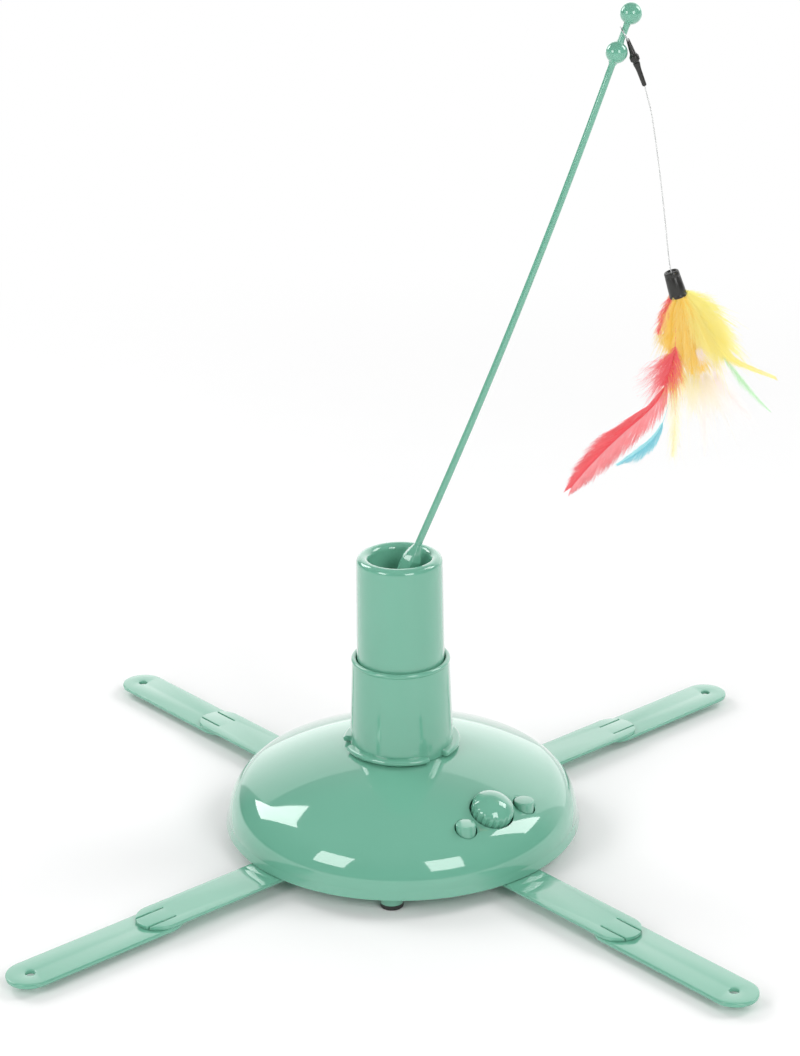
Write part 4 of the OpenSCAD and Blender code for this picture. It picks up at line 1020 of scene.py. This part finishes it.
def pale_feathers():
    plumes = Plumage(41)
    long = (
        ([(0, -0.5, 1), (-0.6, -3, -30), (-0.6, -3, -58), (-0.8, -1.6, -80)], 3.4, 0.45, 0),
        ([(1.2, -0.6, 1), (9, -2, -28), (13.4, -1.6, -54), (14.6, -0.8, -80)], 2.6, 0.35, 0.95),
        ([(1.2, 1, 1), (14, 1.2, -29), (24, 1, -47), (36.9, 0.4, -62)], 3.4, 0.4, 1),
        ([(0.4, 1.6, 1), (6, 3, -30), (9, 4, -58)], 6, 0.35, 0.45),
        ([(0.8, 0.2, 1), (10, 0.4, -30), (20, 0.2, -56)], 6, 0.35, 0.7),
    )
    for points, full, bare, tone in long:
        plumes.feather(points, FRONT, leaf(full, 0.3, 0.45),
                       spacing=0.34, thick=0.05, sweep=26, tone=tone, fray=0.35, bare=bare, lift=0.1)
    tufts = (
        ((9.5, -6.4, -24.5), (0.5, -0.3, -0.8), 9, 150, 1),
        ((4, -2, -39), (0, -0.2, -1), 19, 150, 0.2),
        ((9, -2, -40), (0.2, -0.2, -1), 20, 170, 0.35),
        ((14, -1.5, -40), (0.35, -0.1, -1), 20, 170, 0.6),
        ((19, -1, -40), (0.6, 0, -0.9), 20, 150, 0.9),
        ((17, -2.5, -32), (0.8, -0.2, -0.7), 14, 110, 1),
        ((-1.5, -3, -46), (-0.1, -0.2, -1), 14, 120, 0),
        ((10, 3, -40), (0.2, 0.4, -1), 20, 150, 0.5),
    )
    for root, heading, reach, count, tone in tufts:
        plumes.fluff(root, heading, reach, 0.42, count, 0.04, tone)
    dye_and_glow = barb_dye_and_glow("feather_pale", tint(0.99, 0.95, 0.62), tint(1, 0.93, 0.93), tint(1, 0.99, 0.97),
                   clear=0.35)
    return plumes.grow("pale_plumes", "feather_pale", dye_and_glow)


red_feathers()
yellow_feathers()
blue_feathers()
green_feathers()
pale_feathers()
LINE_LENGTH = sum((b - a).length for a, b in zip(LINE_PATH, LINE_PATH[1:]))


# Feet and the pieces that keep their construction shape
def foot_pad(turn):
    """A round pad with a dished sole, and the stem that plugs into its peg."""
    pad = [(0, 0.35), (3.2, 0.35), (3.6, 0.0), (5.1, 0.0), (5.55, 0.2), (5.7, 0.6), (5.7, 2.3), (5.5, 2.6)]
    stem = [(2.4, 2.6), (2.4, 6.2), (2.0, 6.6), (0, 6.6)]
    return placed(lathe(pad + stem, 48, closed=False), set_out(turn, 79.5))


FEET = joined(*[foot_pad(turn) for turn in CORNERS])
piece(FEET, "rubber_feet", "base", RUBBER, "foot_pads")

KEPT = {
    JADE: ["base_plate", "battery_door", "wand_socket"],
    STEEL: ["battery_contacts", "door_screw", "base_screws", "board_screws", "pot_shaft", "gearbox_screws",
            "motor_can", "motor_screws", "motor_shaft", "axle_pins", "drive_shaft"],
    BRASS: ["motor_pinion", "shaft_bushings"],
    WHITE: ["gearbox_base", "gearbox_cover", "first_gear", "second_gear", "output_gear"],
    BLACK: ["tact_switches", "speed_pot"],
    cell_jacket(): ["battery_cells"],
    board_green(): ["circuit_board"],
    wire_cover("lead_red", tint(0.34, 0.025, 0.018), tint(0.46, 0.045, 0.032)): ["motor_leads"],
    wire_cover("lead_black", tint(0.012, 0.012, 0.013), tint(0.030, 0.030, 0.032)): ["battery_leads"],
}


def soften(thing, width):
    """Joins the loose triangles of a kept node and rounds its edges."""
    weld = thing.modifiers.new("weld", "WELD")
    weld.merge_threshold = 0.00001
    flat = thing.modifiers.new("flat", "DECIMATE")
    flat.decimate_type = "DISSOLVE"
    flat.angle_limit = math.radians(0.5)
    bevel = thing.modifiers.new("bevel", "BEVEL")
    bevel.width = width * MM
    bevel.segments = 2
    bevel.limit_method = "ANGLE"
    bevel.angle_limit = math.radians(40)


for finish, names in KEPT.items():
    for name in names:
        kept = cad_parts[name]
        for place in kept.material_slots:
            place.material = finish
for name in ("base_plate", "battery_door", "door_screw", "base_screws"):
    soften(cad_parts[name], 0.25)


# Floor, world and lamps
FLOOR_R = 9.0
FLOOR_DROP = 0.0002
BACKDROP_AZ = 122.0
FILL_LEVEL = 0.42
SOFTBOX_GLOW = 5.8


def floor():
    shape = bmesh.new()
    made = bmesh.ops.create_circle(shape, cap_ends=True, segments=96, radius=FLOOR_R)
    bmesh.ops.translate(shape, verts=made["verts"], vec=(0, 0, -FLOOR_DROP))
    thing = linked("floor", to_mesh(shape, "floor"))
    made = new_finish("pale_floor")
    far = made.node("ShaderNodeVectorMath", {"operation": "LENGTH"},
                    {0: made.node("ShaderNodeTexCoord", out=3)}, out=1)
    edge = made.ease(far, 0.45, 1.1)
    cloud = made.noise(60, 2.0)
    matt = made.node("ShaderNodeBsdfPrincipled", None,
                     {"Base Color": made.mix(cloud, tint(0.93, 0.93, 0.93), tint(0.95, 0.95, 0.95)),
                      "Roughness": 0.6, "Specular IOR Level": 0.2})
    white = made.node("ShaderNodeEmission", None, {"Color": tint(1, 1, 1), "Strength": 1.0})
    blend = made.node("ShaderNodeMixShader", None, {"Fac": edge * seen_rays(made), 1: matt, 2: white})
    made.node("ShaderNodeOutputMaterial", None, {"Surface": blend})
    thing.data.materials.append(made.owner)


def seen_rays(made):
    """1 for rays that show the background: from the camera, from gloss, or through a clear thing."""
    camera = made.node("ShaderNodeLightPath", out=0)
    gloss = made.node("ShaderNodeLightPath", out=3)
    clear = made.node("ShaderNodeLightPath", out=6)
    return made.node("ShaderNodeMath", {"operation": "MINIMUM"}, {0: camera + gloss + clear, 1: 1.0})


def studio():
    """For the gloss a dim room with a white backdrop behind the object, for the rest a soft even fill."""
    world = bpy.data.worlds.new("studio")
    scene.world = world
    made = Finish(world)
    ray = made.node("ShaderNodeTexCoord", out=0)
    turn = math.radians(BACKDROP_AZ)
    behind = made.node("ShaderNodeVectorMath", {"operation": "DOT_PRODUCT"},
                       {0: ray, 1: (math.cos(turn), math.sin(turn), 0.0)}, out=1)
    height = made.node("ShaderNodeSeparateXYZ", None, {"Vector": ray}, out=2)
    sweep = made.ease(behind, 0.38, 0.92, 0.0, 0.95)
    ceiling = made.ease(height, 0.2, 0.9, 0.06, 0.28)
    camera = made.node("ShaderNodeLightPath", out=0)
    level = made.node("ShaderNodeMath", {"operation": "MAXIMUM"}, {0: sweep + ceiling, 1: camera})
    seen = made.node("ShaderNodeBackground", None, {"Color": tint(1, 1, 1), "Strength": level})
    fill = made.node("ShaderNodeBackground", None, {"Color": tint(1, 1, 1), "Strength": FILL_LEVEL})
    blend = made.node("ShaderNodeMixShader", None, {"Fac": seen_rays(made), 1: fill, 2: seen})
    made.node("ShaderNodeOutputWorld", None, {"Surface": blend})


def softbox(name, azimuth, height, glow, wide, tall, distance=1.5):
    """A soft box that looks at the dome from an azimuth and a height in degrees; the glow is its radiance."""
    data = bpy.data.lights.new(name, "AREA")
    data.shape = "RECTANGLE"
    data.size = wide
    data.size_y = tall
    data.energy = glow * math.pi * wide * tall
    turn = math.radians(azimuth)
    rise = math.radians(height)
    way = Vector((math.cos(turn) * math.cos(rise), math.sin(turn) * math.cos(rise), math.sin(rise)))
    facing = way.to_track_quat("Z", "Y").to_matrix().to_4x4()
    lamp = linked(name, data)
    lamp.matrix_world = Matrix.Translation(Vector((0, 0, 0.03)) + way * distance) @ facing


floor()
studio()
softbox("softbox_left", -166, 37, SOFTBOX_GLOW, 0.5, 0.72)
softbox("softbox_front_left", -89, 29, SOFTBOX_GLOW, 0.55, 0.62)
softbox("softbox_front_right", -13, 29, SOFTBOX_GLOW, 0.55, 0.62)
softbox("softbox_right", 62, 41, SOFTBOX_GLOW, 0.5, 0.72)
softbox("backdrop_light", 130, 22, 0.6, 3.6, 1.7, 1.9)
